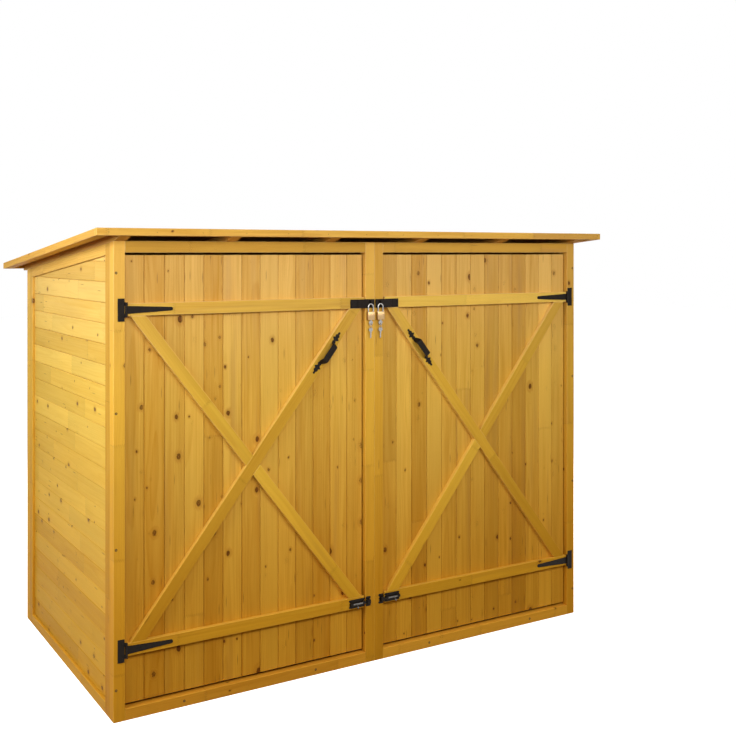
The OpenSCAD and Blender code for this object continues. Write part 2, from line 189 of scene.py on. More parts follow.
# The lift that makes the floor white stops under the walls, so none shines out from inside
floor_finish = bpy.data.materials.new("floor_white")
tree = emptied(floor_finish)
store_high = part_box("back_posts")[1]
floor_x, floor_y = parts_of(node(tree, "ShaderNodeTexCoord")["Object"])[:2]
beside = calc("GREATER_THAN", calc("ABSOLUTE", floor_x), store_high.x - lift_under_walls)
before = calc("LESS_THAN", floor_y, store_corner.y + lift_under_walls)
behind = calc("GREATER_THAN", floor_y, store_high.y - lift_under_walls)
outside = calc("MAXIMUM", beside, calc("MAXIMUM", before, behind))
seen = seen_directly(tree)
matt = node(tree, "ShaderNodeBsdfDiffuse", {"Color": mixed(seen, floor_give_back, floor_as_seen)})[0]
lift = {"Color": paper_white, "Strength": seen * outside * floor_lift}
lit = node(tree, "ShaderNodeAddShader", {0: matt, 1: node(tree, "ShaderNodeEmission", lift)[0]})[0]
clear = node(tree, "ShaderNodeBsdfTransparent")[0]
from_below = node(tree, "ShaderNodeNewGeometry")["Backfacing"]
surface = node(tree, "ShaderNodeMixShader", {0: from_below, 1: lit, 2: clear})[0]
node(tree, "ShaderNodeOutputMaterial", {"Surface": surface})
floor_mesh.materials.append(floor_finish)

# ---------------------------------------------------------------- Front frame
# Four squared softwood posts with rails between them, screwed through from the outside. The timber
# is planed with eased edges, dipped in a clear honey-yellow stain, and jointed from short lengths.

draws = random.Random(7)
slot_of = {part["node"]: part["material_slot"] for part in frame["record"]["subparts"]}
weld_reach = 0.00001
timber_easing = 0.0014
twin_post_play = 0.001
closed_up = 0.05
grain_bump = 0.0005
wood_gloss = 0.025

# Finger joints, knots, growth rings and resin flecks, in metres or to the metre. A random size is
# a spread and the value that it starts from.
finger_half_pitch = 0.0035
finger_slope = 2.6
joint_line = (0.0004, 0.0012)
spacing_spread, spacing_from = 0.5, 0.8
length_shuffle = 13.7
seed_shuffle = 91.3
knots_per_metre = (6.5, 15.0)
knot_flatness = 0.72
knot_scatter = 0.7
knot_wobble = 0.004
knot_r_spread, knot_r_from = 0.0070, 0.0023
small_knot_bias = 1.7
pith_across_spread, pith_across_from = 0.09, -0.045
pith_into_spread, pith_into_from = -0.07, -0.008
waver_across, waver_into = 0.03, 0.02
ring_w_spread, ring_w_from = 0.0035, 0.0028
rings_pushed_out = 0.006
flecks_per_metre = (5.0, 24.0)
fleck_flatness = 0.09
fleck_fray = 0.0016
fleck_edge = (0.0004, 0.0024)
flecks_to_knots = 0.7

# Wood and stain. The tints lie over the whole store, between two heights: painted shade, deeper and redder
# low down, and painted light, paler with a creamy haze near the top.
honey_light = (0.77, 0.425, 0.042, 1)
honey_deep = (0.53, 0.225, 0.011, 1)
# The pale edge colour is thinner stain on eased edges and, in part, a painted highlight
edge_wear_and_highlight = (0.90, 0.61, 0.13, 1)
edge_pooled = (0.36, 0.145, 0.011, 1)
knot_heart = (0.14, 0.04, 0.008, 1)
knot_rim = (0.05, 0.014, 0.003, 1)
knot_halo = (0.41, 0.14, 0.014, 1)
resin_brown = (0.24, 0.095, 0.022, 1)
weathered_brown = (0.46, 0.22, 0.05, 1)
painted_shade_heights = (0.1, 1.15)
painted_foot_shade_tint = (0.84, 0.70, 0.41, 1)
painted_top_light_tint = (0.98, 1.01, 1.2, 1)
painted_haze_heights = (0.95, 1.5)
painted_haze_tint = (0.98, 0.99, 1.6, 1)


def group_of(name, inputs):
    """A shader group that gives colour, roughness and height, with its input wires."""
    group = bpy.data.node_groups.new(name, "ShaderNodeTree")
    kinds = {float: "NodeSocketFloat", tuple: "NodeSocketColor", type(None): "NodeSocketVector"}
    for label, value in inputs.items():
        socket = group.interface.new_socket(label, in_out="INPUT", socket_type=kinds[type(value)])
        if value is not None:
            socket.default_value = value
    for label, kind in (("Color", "Color"), ("Roughness", "Float"), ("Height", "Float")):
        group.interface.new_socket(label, in_out="OUTPUT", socket_type="NodeSocket" + kind)
    return group, node(group, "NodeGroupInput")


def closed_group(group, colour, roughness, height):
    node(group, "NodeGroupOutput", {"Color": colour, "Roughness": roughness, "Height": height})
    return group


def ramp(value, low, high, at_low=0.0, at_high=1.0):
    sockets = {"Value": value, "From Min": low, "From Max": high, "To Min": at_low, "To Max": at_high}
    return node(tree_of(value), "ShaderNodeMapRange", sockets, interpolation_type="SMOOTHSTEP")[0]


def vector_calc(operation, *vectors):
    """A sum of vectors, or the length of one."""
    sockets = dict(enumerate(vectors))
    made = node(tree_of(*vectors), "ShaderNodeVectorMath", sockets, operation=operation)
    return made["Value" if operation == "LENGTH" else "Vector"]


def noise(vector, scale, detail, distortion=0.0, gives=0):
    """Noise over a stretched vector. The scale is in waves to the metre."""
    sockets = {
        "Vector": vector_calc("MULTIPLY", vector, scale), "Scale": 1.0, "Detail": detail,
        "Distortion": distortion,
    }
    return node(tree_of(vector), "ShaderNodeTexNoise", sockets)[gives]


def scattered(place, per_metre, flatness, scatter):
    """Spots, one to a patch: the distance to the nearest, and three random numbers of its own."""
    patched = vector_calc("MULTIPLY", place, (*per_metre, 0))
    sockets = {"Vector": patched, "Scale": 1.0, "Randomness": scatter}
    cells = node(tree_of(place), "ShaderNodeTexVoronoi", sockets, voronoi_dimensions="2D")
    offset = vector_calc("SUBTRACT", patched, cells["Position"])
    offset = vector_calc("MULTIPLY", offset, (flatness / per_metre[0], 1 / per_metre[1], 0))
    return vector_calc("LENGTH", offset), parts_of(cells["Color"])


def softwood_group():
    """Stained softwood in a piece's own grain: along, across and into the board, in metres."""
    inputs = {
        "Grain": None, "Place": None, "Tone": 0.5, "Eased Or Lit": 0.0, "Light": honey_light,
        "Deep": honey_deep, "Knots": 0.25, "Joint Spacing": 0.5, "Knot Size": 0.7, "Figure": 1.0,
        "Grey": 0.3, "Edge": edge_wear_and_highlight, "Edge Share": 0.4,
    }
    tree, given = group_of("stained_softwood", inputs)
    tone = given["Tone"]
    along, across, into = parts_of(given["Grain"])

    # Short lengths are glued end to end with finger joints, each from another tree
    finger = calc("PINGPONG", across, finger_half_pitch)
    spacing = given["Joint Spacing"] * (tone * spacing_spread + spacing_from)
    run = (along + finger * finger_slope) / spacing + tone * length_shuffle
    length_number = calc("FLOOR", run)
    run_in_length = run - length_number
    to_joint = calc("MINIMUM", run_in_length, 1.0 - run_in_length) * spacing
    joint = ramp(to_joint, *joint_line, 1.0, 0.0)
    seed = node(tree, "ShaderNodeCombineXYZ", {0: length_number, 1: tone * seed_shuffle})[0]
    luck = node(tree, "ShaderNodeTexWhiteNoise", {"Vector": seed}, noise_dimensions="2D")["Color"]
    lots = parts_of(luck)
    moved = vector_calc("ADD", given["Grain"], vector_calc("MULTIPLY", luck, (3, 3, 3)))

    # Knots: at most one in each patch, an oval with a dark rim, and the grain bends round it
    turned = parts_of(moved)
    wrapped = node(tree, "ShaderNodeCombineXYZ", {0: turned[0], 1: turned[1] + turned[2]})[0]
    from_knot, knot_lots = scattered(wrapped, knots_per_metre, knot_flatness, knot_scatter)
    from_knot += (noise(moved, (120, 160, 160), 1.0) - 0.5) * knot_wobble
    present = calc("LESS_THAN", knot_lots[0], given["Knots"])
    radius = calc("POWER", knot_lots[1], small_knot_bias) * knot_r_spread + knot_r_from
    knot_reach = from_knot / (radius * given["Knot Size"])
    heart = present * ramp(knot_reach, 0.7, 1.05, 1.0, 0.0)
    rim = present * ramp(calc("ABSOLUTE", knot_reach - 1.0), 0.05, 0.3, 1.0, 0.0)
    halo = present * ramp(knot_reach, 0.9, 3.6, 1.0, 0.0)

    # Growth rings round a pith beside or behind the piece, wavering along its length
    waver = parts_of(noise(moved, (1.6, 10, 10), 2.0, gives="Color"))
    pith_across = lots[0] * pith_across_spread + pith_across_from
    pith_into = lots[1] * pith_into_spread + pith_into_from
    ring_across = across + waver[0] * waver_across - pith_across
    ring_into = into + waver[1] * waver_into - pith_into
    from_pith = calc("SQRT", ring_across * ring_across + ring_into * ring_into)
    from_pith += halo * rings_pushed_out
    ring = calc("FRACT", from_pith / (lots[2] * ring_w_spread + ring_w_from))
    late_wood = ramp(ring, 0.35, 0.92) * ramp(ring, 0.93, 1.0, 1.0, 0.0)
    fibre = noise(moved, (14, 900, 900), 2.0)
    streak = noise(moved, (2.6, 60, 60), 3.0, 0.4)

    # Flecks: short dark streaks of resin, more of them where there are more knots
    to_fleck, fleck_lots = scattered(wrapped, flecks_per_metre, fleck_flatness, 1.0)
    to_fleck += (fibre - 0.5) * fleck_fray
    present = calc("LESS_THAN", fleck_lots[0], given["Knots"] * flecks_to_knots)
    fleck = present * ramp(to_fleck, *fleck_edge, 1.0, 0.0)

    # The stain's colour: deeper in the late wood and the streaks, another tone for each length
    depth = late_wood * 0.22 + (streak - 0.5) * 1.05 + (fibre - 0.5) * 0.35
    depth = depth * given["Figure"] + (tone * 0.55 - 0.08)
    colour = mixed(depth, given["Light"], given["Deep"])
    colour = mixed(halo * 0.45, colour, knot_halo)
    colour = mixed(fleck * 0.6, colour, resin_brown)
    greyed = ramp(noise(moved, (1.4, 24, 24), 3.0), 0.5, 0.72) * ramp(lots[2], 0.35, 0.7)
    colour = mixed(greyed * given["Grey"], colour, weathered_brown)
    blotch = noise(moved, (3.0, 11, 11), 2.0)
    shade = blotch * 0.2 + 0.83 + lots[0] * 0.13 - (tone - 0.5) * 0.08 - joint * 0.22
    shade = node(tree, "ShaderNodeCombineColor", {0: shade, 1: shade, 2: shade})[0]
    colour = mixed(1.0, colour, shade, "MULTIPLY")
    colour = mixed(heart * 0.9, colour, knot_heart)
    colour = mixed(rim * 0.9, colour, knot_rim)
    # Eased faces take the edge colour: on frame timber and braces a painted highlight as well as thinner
    # stain, on boards stain pooled in the chamfers
    colour = mixed(given["Eased Or Lit"] * given["Edge Share"], colour, given["Edge"])

    # Painted shade and light by height: deeper and redder at the foot, paler above, and a painted creamy
    # haze near the top
    height = parts_of(given["Place"])[2]
    colour = mixed(1.0, colour, mixed(ramp(height, *painted_shade_heights), painted_foot_shade_tint, painted_top_light_tint), "MULTIPLY")
    colour = mixed(ramp(height, *painted_haze_heights), colour, painted_haze_tint, "MULTIPLY")
    roughness = fibre * 0.16 + 0.42 - heart * 0.1
    return closed_group(tree, colour, roughness, late_wood * 0.35 + fibre * 0.7 + heart * 0.8 - joint)


def finished_material(name, group, values, bump, shader):
    """A material: its group gives colour, roughness and bump, and its shader has plain values.

    A word among the group's values names an attribute of the mesh.
    """
    made = bpy.data.materials.new(name)
    tree = emptied(made)
    placed = tree.nodes.new("ShaderNodeGroup")
    placed.node_tree = group
    for key, value in values.items():
        if isinstance(value, str):
            gives = "Vector" if placed.inputs[key].type == "VECTOR" else "Fac"
            value = node(tree, "ShaderNodeAttribute", attribute_name=value)[gives]
            tree.links.new(value.socket, placed.inputs[key])
        else:
            placed.inputs[key].default_value = value
    tree.links.new(node(tree, "ShaderNodeTexCoord")["Object"].socket, placed.inputs["Place"])
    given = {socket.name: Wire(socket) for socket in placed.outputs}
    bumped = node(tree, "ShaderNodeBump", {"Distance": bump, "Height": given["Height"]})[0]
    sockets = {"Base Color": given["Color"], "Roughness": given["Roughness"], "Normal": bumped}
    surface = node(tree, "ShaderNodeBsdfPrincipled", {**sockets, **shader})
    node(tree, "ShaderNodeOutputMaterial", {"Surface": surface[0]})
    return made


softwood = softwood_group()


def stained(name, **values):
    inputs = {"Grain": "grain", "Tone": "tone", "Eased Or Lit": "eased_or_lit"}
    inputs.update({key.replace("_", " ").title(): value for key, value in values.items()})
    return finished_material(name, softwood, inputs, grain_bump, {"Specular IOR Level": wood_gloss})


def solids_of(node_name):
    """The solids of a CAD piece, each a mesh of its own with whole flat faces."""
    whole = bmesh.new()
    whole.from_mesh(frame["nodes"][node_name].data)
    bmesh.ops.remove_doubles(whole, verts=whole.verts, dist=weld_reach)
    bmesh.ops.dissolve_limit(whole, angle_limit=math.radians(1), verts=whole.verts, edges=whole.edges)
    waiting = set(whole.verts)
    solids = []
    while waiting:
        island = {min(waiting, key=lambda vert: vert.index)}
        shore = set(island)
        while shore:
            touched = {edge.other_vert(vert) for vert in shore for edge in vert.link_edges}
            shore = touched - island
            island |= shore
        waiting -= island
        solid = bmesh.new()
        copies = {vert: solid.verts.new(vert.co) for vert in whole.verts if vert in island}
        for face in whole.faces:
            if face.verts[0] in island:
                solid.faces.new([copies[vert] for vert in face.verts])
        solids.append(solid)
    whole.free()
    return solids


def ease(solid, width, segments=2, sharper_than=25):
    """Rounds the outer edges of a solid and marks the new faces as eased."""
    worn_or_painted_light = solid.faces.layers.float.new("eased_or_lit")
    solid.normal_update()
    edges = []
    for edge in solid.edges:
        if len(edge.link_faces) == 2 and edge.is_convex:
            if edge.calc_face_angle() > math.radians(sharper_than):
                edges.append(edge)
    made = bmesh.ops.bevel(
        solid, geom=edges, offset=width, segments=segments, profile=0.5, affect="EDGES",
        clamp_overlap=True,
    )
    for face in made["faces"]:
        face[worn_or_painted_light] = 1.0


def length_way(solid):
    """The direction of a solid's longest edge."""
    longest = max(solid.edges, key=lambda edge: edge.calc_length())
    return (longest.verts[1].co - longest.verts[0].co).normalized()


def extent(solid, direction):
    reaches = [vert.co.dot(direction) for vert in solid.verts]
    return min(reaches), max(reaches)


def give_grain(solid):
    """Writes the grain of one length of timber, along its longest edge."""
    along = length_way(solid)
    side = Vector((0, 1, 0)) if abs(along.y) < 0.7 else Vector((1, 0, 0))
    across = along.cross(side).normalized()
    into = across.cross(along)
    middle = Vector([sum(extent(solid, axis)) / 2 for axis in Matrix.Identity(3)])
    slide = draws.uniform(0, 40)
    tone = draws.random()
    grains = solid.verts.layers.float_vector.new("grain")
    tones = solid.verts.layers.float.new("tone")
    for vert in solid.verts:
        reach = vert.co - middle
        vert[grains] = (reach.dot(along) + slide, reach.dot(across), reach.dot(into))
        vert[tones] = tone


def plain_mesh(name, solids, finish, smooth_below=None):
    """Joins solids into one mesh, with their grain, tone and eased edges as attributes."""
    places, faces, grains, tones, eased_or_lit = [], [], [], [], []
    for solid in solids:
        grain = solid.verts.layers.float_vector.get("grain")
        tone = solid.verts.layers.float.get("tone")
        worn_or_painted_light = solid.faces.layers.float.get("eased_or_lit")
        start = len(places)
        for number, vert in enumerate(solid.verts):
            vert.index = number
            places.append(vert.co[:])
            grains.extend(vert[grain] if grain else (0, 0, 0))
            tones.append(vert[tone] if tone else 0)
        for face in solid.faces:
            faces.append([start + vert.index for vert in face.verts])
            eased_or_lit.append(face[worn_or_painted_light] if worn_or_painted_light else 0)
        solid.free()
    mesh = bpy.data.meshes.new(name)
    mesh.from_pydata(places, [], faces)
    mesh.attributes.new("grain", "FLOAT_VECTOR", "POINT").data.foreach_set("vector", grains)
    mesh.attributes.new("tone", "FLOAT", "POINT").data.foreach_set("value", tones)
    mesh.attributes.new("eased_or_lit", "FLOAT", "FACE").data.foreach_set("value", eased_or_lit)
    mesh.materials.append(finish)
    if smooth_below:
        mesh.polygons.foreach_set("use_smooth", [True] * len(mesh.polygons))
        mesh.set_sharp_from_angle(angle=math.radians(smooth_below))
    return mesh


def put(name, mesh, body, slot, *nodes):
    """Stands a finished mesh in the store as a piece of one body, in place of its CAD nodes."""
    piece = bpy.data.objects.new(name, mesh)
    scene.collection.objects.link(piece)
    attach(piece, body)
    if nodes:
        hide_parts(*nodes)


def timber(node_name, body, finish, painted_lit_sides=False):
    """Planed timber in the shape of a CAD piece, with its edges eased and its grain along it.

    The two centre posts are drawn together, so that no light shows between them. With painted lit
    sides, the side faces are marked like eased faces, and take the pale edge colour as painted light.
    """
    solids = solids_of(node_name)
    for solid in solids:
        for vert in solid.verts:
            if abs(vert.co.x) < twin_post_play:
                vert.co.x *= closed_up
        ease(solid, timber_easing)
        if painted_lit_sides:
            solid.normal_update()
            worn_or_painted_light = solid.faces.layers.float["eased_or_lit"]
            # The side faces take the edge colour as painted light, marked like eased faces
            for face in solid.faces:
                if abs(face.normal.y) < 0.5:
                    face[worn_or_painted_light] = 1.0
        give_grain(solid)
    mesh = plain_mesh(node_name + "_planed", solids, finish)
    put(node_name + "_planed", mesh, body, slot_of[node_name], node_name)


frame_looks = {"knots": 0.12, "joint_spacing": 0.42, "figure": 0.6}
post_finish = stained("stained_posts", **frame_looks)
# The top rails take a deeper copy of the stain: painted shade from the roof's overhang.
shaded_top_rail_finish = stained(
    "stained_top_rails_painted_shade", light=(0.64, 0.345, 0.028, 1), deep=(0.44, 0.18, 0.008, 1), **frame_looks,
)
# The bottom rails take a paler copy of the stain: painted light low on the front.
lit_bottom_rail_finish = stained(
    "stained_bottom_rails_painted_light", light=(0.92, 0.53, 0.085, 1), deep=(0.63, 0.28, 0.024, 1), **frame_looks,
)
timber("front_posts", "store", post_finish)
timber("front_top_rails", "store", shaded_top_rail_finish)
timber("front_bottom_rails", "store", lit_bottom_rail_finish)

# ---------------------------------------------------------------- Screws
# Dark cross-head wood screws, sunk flush, hold the frame together: four up each corner post and
# two in each bottom rail. All screws and nails are set by one tree that turns a head at each mark.

forward = Vector((0, -1, 0))
backward = Vector((0, 1, 0))
screw_from_edge = 0.0085
post_screw_heights = (0.103, 0.552, 0.988, 1.438)
rail_screw_places = (0.741, 0.246)
# A screw head's shape, as shares of its radius and its rise
foot_r, crown_r = 0.9, 0.8
rim_rise = 0.3
cross_arm, cross_half_w = 0.58, 0.14
cross_bed = 0.7
screw_sides = 16
head_foot_depth = 0.0003


def geometry_tree(name, inputs):
    """An empty Geometry Nodes tree that gives a mesh, with its input wires."""
    tree = bpy.data.node_groups.new(name, "GeometryNodeTree")
    for label, kind in inputs.items():
        tree.interface.new_socket(label, in_out="INPUT", socket_type="NodeSocket" + kind)
    tree.interface.new_socket("Made", in_out="OUTPUT", socket_type="NodeSocketGeometry")
    return tree, node(tree, "NodeGroupInput")


def closed_tree(tree, geometry, finish):
    made = node(tree, "GeometryNodeSetMaterial", {"Geometry": geometry, "Material": finish})[0]
    node(tree, "NodeGroupOutput", {"Made": made})
    return tree


def named_vector(tree, name):
    return node(tree, "GeometryNodeInputNamedAttribute", {"Name": name}, data_type="FLOAT_VECTOR")[0]


def heads_tree():
    """A head at each mark, facing outward, with a random turn about its own axis."""
    inputs = {
        "Marks": "Geometry", "Head": "Object", "Random Turn": "Float", "Seed": "Int", "Finish": "Material",
    }
    tree, given = geometry_tree("heads_at_marks", inputs)
    outward = {"Vector": named_vector(tree, "outward")}
    upright = node(tree, "FunctionNodeAlignRotationToVector", outward, axis="Z")[0]
    sockets = {2: 0.0, 3: given["Random Turn"], "Seed": given["Seed"]}
    turn = node(tree, "FunctionNodeRandomValue", sockets, data_type="FLOAT")[1]
    spin = node(tree, "FunctionNodeAxisAngleToRotation", {"Axis": (0, 0, 1), "Angle": turn})[0]
    sockets = {"Rotation": upright, "Rotate By": spin}
    turned = node(tree, "FunctionNodeRotateRotation", sockets, rotation_space="LOCAL")[0]
    head = node(tree, "GeometryNodeObjectInfo", {"Object": given["Head"]})["Geometry"]
    sockets = {"Points": given["Marks"], "Instance": head, "Rotation": turned}
    heads = node(tree, "GeometryNodeInstanceOnPoints", sockets)[0]
    heads = node(tree, "GeometryNodeRealizeInstances", {0: heads})[0]
    return closed_tree(tree, heads, given["Finish"])


heads_at_marks = heads_tree()


def grown(mesh, tree, **inputs):
    """What a Geometry Nodes tree makes of a mesh, as a plain mesh."""
    seedling = bpy.data.objects.new("seedling", mesh)
    scene.collection.objects.link(seedling)
    modifier = seedling.modifiers.new("tree", "NODES")
    modifier.node_group = tree
    sockets = {item.name: item.identifier for item in tree.interface.items_tree if item.in_out == "INPUT"}
    for key, value in inputs.items():
        modifier[sockets[key.replace("_", " ").title()]] = value
    depsgraph = bpy.context.evaluated_depsgraph_get()
    made = bpy.data.meshes.new_from_object(
        seedling.evaluated_get(depsgraph), preserve_all_data_layers=True, depsgraph=depsgraph,
    )
    seedling.modifiers.clear()
    bpy.data.objects.remove(seedling)
    return made


def studs(name, marks, head, finish, body, slot, seed):
    """Sets a head at each mark. A mark is a place and the direction that the head faces."""
    mesh = bpy.data.meshes.new(name + "_marks")
    mesh.from_pydata([place for place, facing in marks], [], [])
    facings = [number for place, facing in marks for number in facing]
    mesh.attributes.new("outward", "FLOAT_VECTOR", "POINT").data.foreach_set("vector", facings)
    made = grown(mesh, heads_at_marks, head=head, random_turn=6.28, seed=seed, finish=finish)
    made.name = name
    put(name, made, body, slot)


def ring_of(solid, radius, height, count):
    turns = [2 * math.pi * number / count for number in range(count)]
    return [solid.verts.new((radius * math.cos(a), radius * math.sin(a), height)) for a in turns]


def loop_edges(solid, ring):
    pairs = [(ring[i - 1], ring[i]) for i in range(len(ring))]
    return [solid.edges.get(pair) or solid.edges.new(pair) for pair in pairs]


def bridge(solid, first, second):
    for i in range(len(first)):
        solid.faces.new((first[i - 1], first[i], second[i], second[i - 1]))


def head_object(name, solid):
    """Keeps a head outside the scene, for the tree to copy."""
    bmesh.ops.recalc_face_normals(solid, faces=solid.faces)
    mesh = bpy.data.meshes.new(name)
    solid.to_mesh(mesh)
    solid.free()
    return bpy.data.objects.new(name, mesh)


def cross_head(name, radius, rise, sink):
    """A screw head with a cross recess, facing +Z, with its flat rim at the surface."""
    solid = bmesh.new()
    arm, half = radius * cross_arm, radius * cross_half_w
    cross = [
        (arm, -half), (arm, half), (half, half), (half, arm), (-half, arm), (-half, half), (-arm, half),
        (-arm, -half), (-half, -half), (-half, -arm), (half, -arm), (half, -half),
    ]
    foot = ring_of(solid, radius * foot_r, -head_foot_depth, screw_sides)
    rim = ring_of(solid, radius, rise * rim_rise, screw_sides)
    crown = ring_of(solid, radius * crown_r, rise, screw_sides)
    mouth = [solid.verts.new((x, y, rise)) for x, y in cross]
    bed = [solid.verts.new((x * cross_bed, y * cross_bed, rise - sink)) for x, y in cross]
    bridge(solid, foot, rim)
    bridge(solid, rim, crown)
    face_edges = loop_edges(solid, crown) + loop_edges(solid, mouth)
    bmesh.ops.triangle_fill(solid, edges=face_edges, use_beauty=True)
    bridge(solid, mouth, bed)
    solid.faces.new(bed)
    solid.faces.new(foot)
    return head_object(name, solid)


def metal_group(name, colour, worn_colour, scuffs_per_metre, smooth_rough):
    """Painted or bare metal: a fine grain, soft scuffs and patches that gather on eased edges: lighter wear
    on the coats, dark scuffs and painted reflection on the plating.
    """
    inputs = {"Place": None, "Eased Or Lit": 0.0, "Colour": colour, "Patch Colour": worn_colour, "Patch Share": 0.3}
    tree, given = group_of(name, inputs)
    scuffs = noise(given["Place"], (scuffs_per_metre,) * 3, 4.0)
    peel = noise(given["Place"], (1400, 1400, 1400), 1.0)
    worn_or_painted_light = ramp(scuffs, 0.4, 0.75) * given["Patch Share"] * (given["Eased Or Lit"] * 0.7 + 0.3)
    colour = mixed(worn_or_painted_light, given["Colour"], given["Patch Colour"])
    return closed_group(tree, colour, ramp(scuffs, 0.3, 0.7, *smooth_rough), peel * 0.7 + scuffs * 0.3)


black_coat = metal_group("black_coat", (0.0092, 0.006, 0.004, 1), (0.06, 0.046, 0.034, 1), 90, (0.38, 0.6))
iron_looks = {"Eased Or Lit": "eased_or_lit", "Patch Share": 0.35}
iron_finish = finished_material("black_iron", black_coat, iron_looks, 0.00006, {"Specular IOR Level": 0.1})
dark_screw_looks = {
    "Colour": (0.012, 0.008, 0.006, 1), "Patch Colour": (0.10, 0.07, 0.05, 1), "Patch Share": 0.5,
}
dark_screw_finish = finished_material(
    "dark_screws", black_coat, dark_screw_looks, 0.00005, {"Specular IOR Level": 0.2},
)

screw_head = cross_head("sunk_screw", radius=0.0042, rise=0.00025, sink=0.0011)
rail_low, rail_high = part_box("front_bottom_rails")
rail_middle_z = (rail_low.z + rail_high.z) / 2
frame_marks = []
for side in (-1, 1):
    edge_x = side * (front_high.x - screw_from_edge)
    frame_marks += [((edge_x, store_corner.y, z), forward) for z in post_screw_heights]
    frame_marks += [((side * x, store_corner.y, rail_middle_z), forward) for x in rail_screw_places]
studs("frame_screws", frame_marks, screw_head, dark_screw_finish, "store", "black_iron", seed=3)

# ---------------------------------------------------------------- Walls
# Each side wall is a frame of posts and rails, grooved on its inner edges to hold matching boards
# laid level, which lock together with tongues. The back wall has two such bays.

board_gap = 0.0009
board_chamfer = 0.0017
tongue_len = 0.0045
tongue_t = 0.0034
tongue_taper = 0.8
groove_play = 0.0006
saw_spare = 0.01
wall_pitch = 0.0684
wall_groove_depth = 0.008

wall_finish = stained("stained_wall_frame", knots=0.16, joint_spacing=0.5, light=(0.82, 0.49, 0.055, 1))
wall_board_finish = stained(
    "stained_wall_boards", knots=0.44, knot_size=0.6, joint_spacing=0.7, figure=0.7, grey=0.12,
    edge=edge_pooled, edge_share=0.08, light=(0.85, 0.56, 0.085, 1), deep=(0.68, 0.36, 0.024, 1),
)
for panel in ("left_wall", "right_wall", "back"):
    for part in ("_posts", "_rails"):
        timber(panel + part, "store", wall_finish)


def board_row_tree():
    """A row of copies of one board. Each gets its own stretch of grain and its own tone."""
    inputs = {"Board": "Geometry", "Count": "Int", "Pitch": "Vector", "Seed": "Int", "Finish": "Material"}
    tree, given = geometry_tree("row_of_boards", inputs)
    sockets = {"Count": given["Count"], "Offset": given["Pitch"]}
    line = node(tree, "GeometryNodeMeshLine", sockets, mode="OFFSET")[0]
    boards = node(tree, "GeometryNodeInstanceOnPoints", {"Points": line, "Instance": given["Board"]})[0]
    sockets = {0: (0, 0, 0), 1: (40, 0, 0), "Seed": given["Seed"]}
    slide = node(tree, "FunctionNodeRandomValue", sockets, data_type="FLOAT_VECTOR")[0]
    sockets = {2: 0.0, 3: 1.0, "Seed": given["Seed"] + 100.0}
    tone = node(tree, "FunctionNodeRandomValue", sockets, data_type="FLOAT")[1]
    for label, kind, value in (("slide", "FLOAT_VECTOR", slide), ("tone", "FLOAT", tone)):
        sockets = {"Geometry": boards, "Name": label, "Value": value}
        boards = node(tree, "GeometryNodeStoreNamedAttribute", sockets, data_type=kind, domain="INSTANCE")[0]
    boards = node(tree, "GeometryNodeRealizeInstances", {0: boards})[0]
    grain = vector_calc("ADD", named_vector(tree, "grain"), named_vector(tree, "slide"))
    sockets = {"Geometry": boards, "Name": "grain", "Value": grain}
    boards = node(
        tree, "GeometryNodeStoreNamedAttribute", sockets, data_type="FLOAT_VECTOR", domain="POINT",
    )[0]
    return closed_tree(tree, boards, given["Finish"])


row_of_boards = board_row_tree()


def one_board(origin, along, across, outward, length, pitch, thickness):
    """One matching board: chamfered at its face, a tongue on one edge and a groove on the other."""
    left, right = board_gap / 2, pitch - board_gap / 2
    middle = -thickness / 2
    half_tongue, half_groove = tongue_t / 2, (tongue_t + groove_play) / 2
    tongue_end = right + tongue_len
    groove_bed = left + tongue_len + groove_play + board_gap
    outline = [
        (left + board_chamfer, 0), (right - board_chamfer, 0), (right, -board_chamfer),
        (right, middle + half_tongue), (tongue_end, middle + half_tongue * tongue_taper),
        (tongue_end, middle - half_tongue * tongue_taper), (right, middle - half_tongue),
        (right, -thickness), (left, -thickness), (left, middle - half_groove),
        (groove_bed, middle - half_groove), (groove_bed, middle + half_groove),
        (left, middle + half_groove), (left, -board_chamfer),
    ]
    board = bmesh.new()
    grains = board.verts.layers.float_vector.new("grain")
    worn_or_painted_light = board.faces.layers.float.new("eased_or_lit")
    rings = []
    for reach in (0, length):
        ring = []
        for over, out in outline:
            vert = board.verts.new(origin + along * reach + across * over + outward * out)
            vert[grains] = (reach, over - pitch / 2, out + thickness / 2)
            ring.append(vert)
        rings.append(ring)
    bridge(board, rings[0], rings[1])
    # Each side's face ends at the point with its number, so the chamfers are faces 0 and 2
    board.faces.ensure_lookup_table()
    for chamfer in (0, 2):
        board.faces[chamfer][worn_or_painted_light] = 1.0
    for ring in rings:
        board.faces.new(ring)
    bmesh.ops.recalc_face_normals(board, faces=board.faces)
    mesh = bpy.data.meshes.new("board")
    board.to_mesh(mesh)
    board.free()
    return mesh


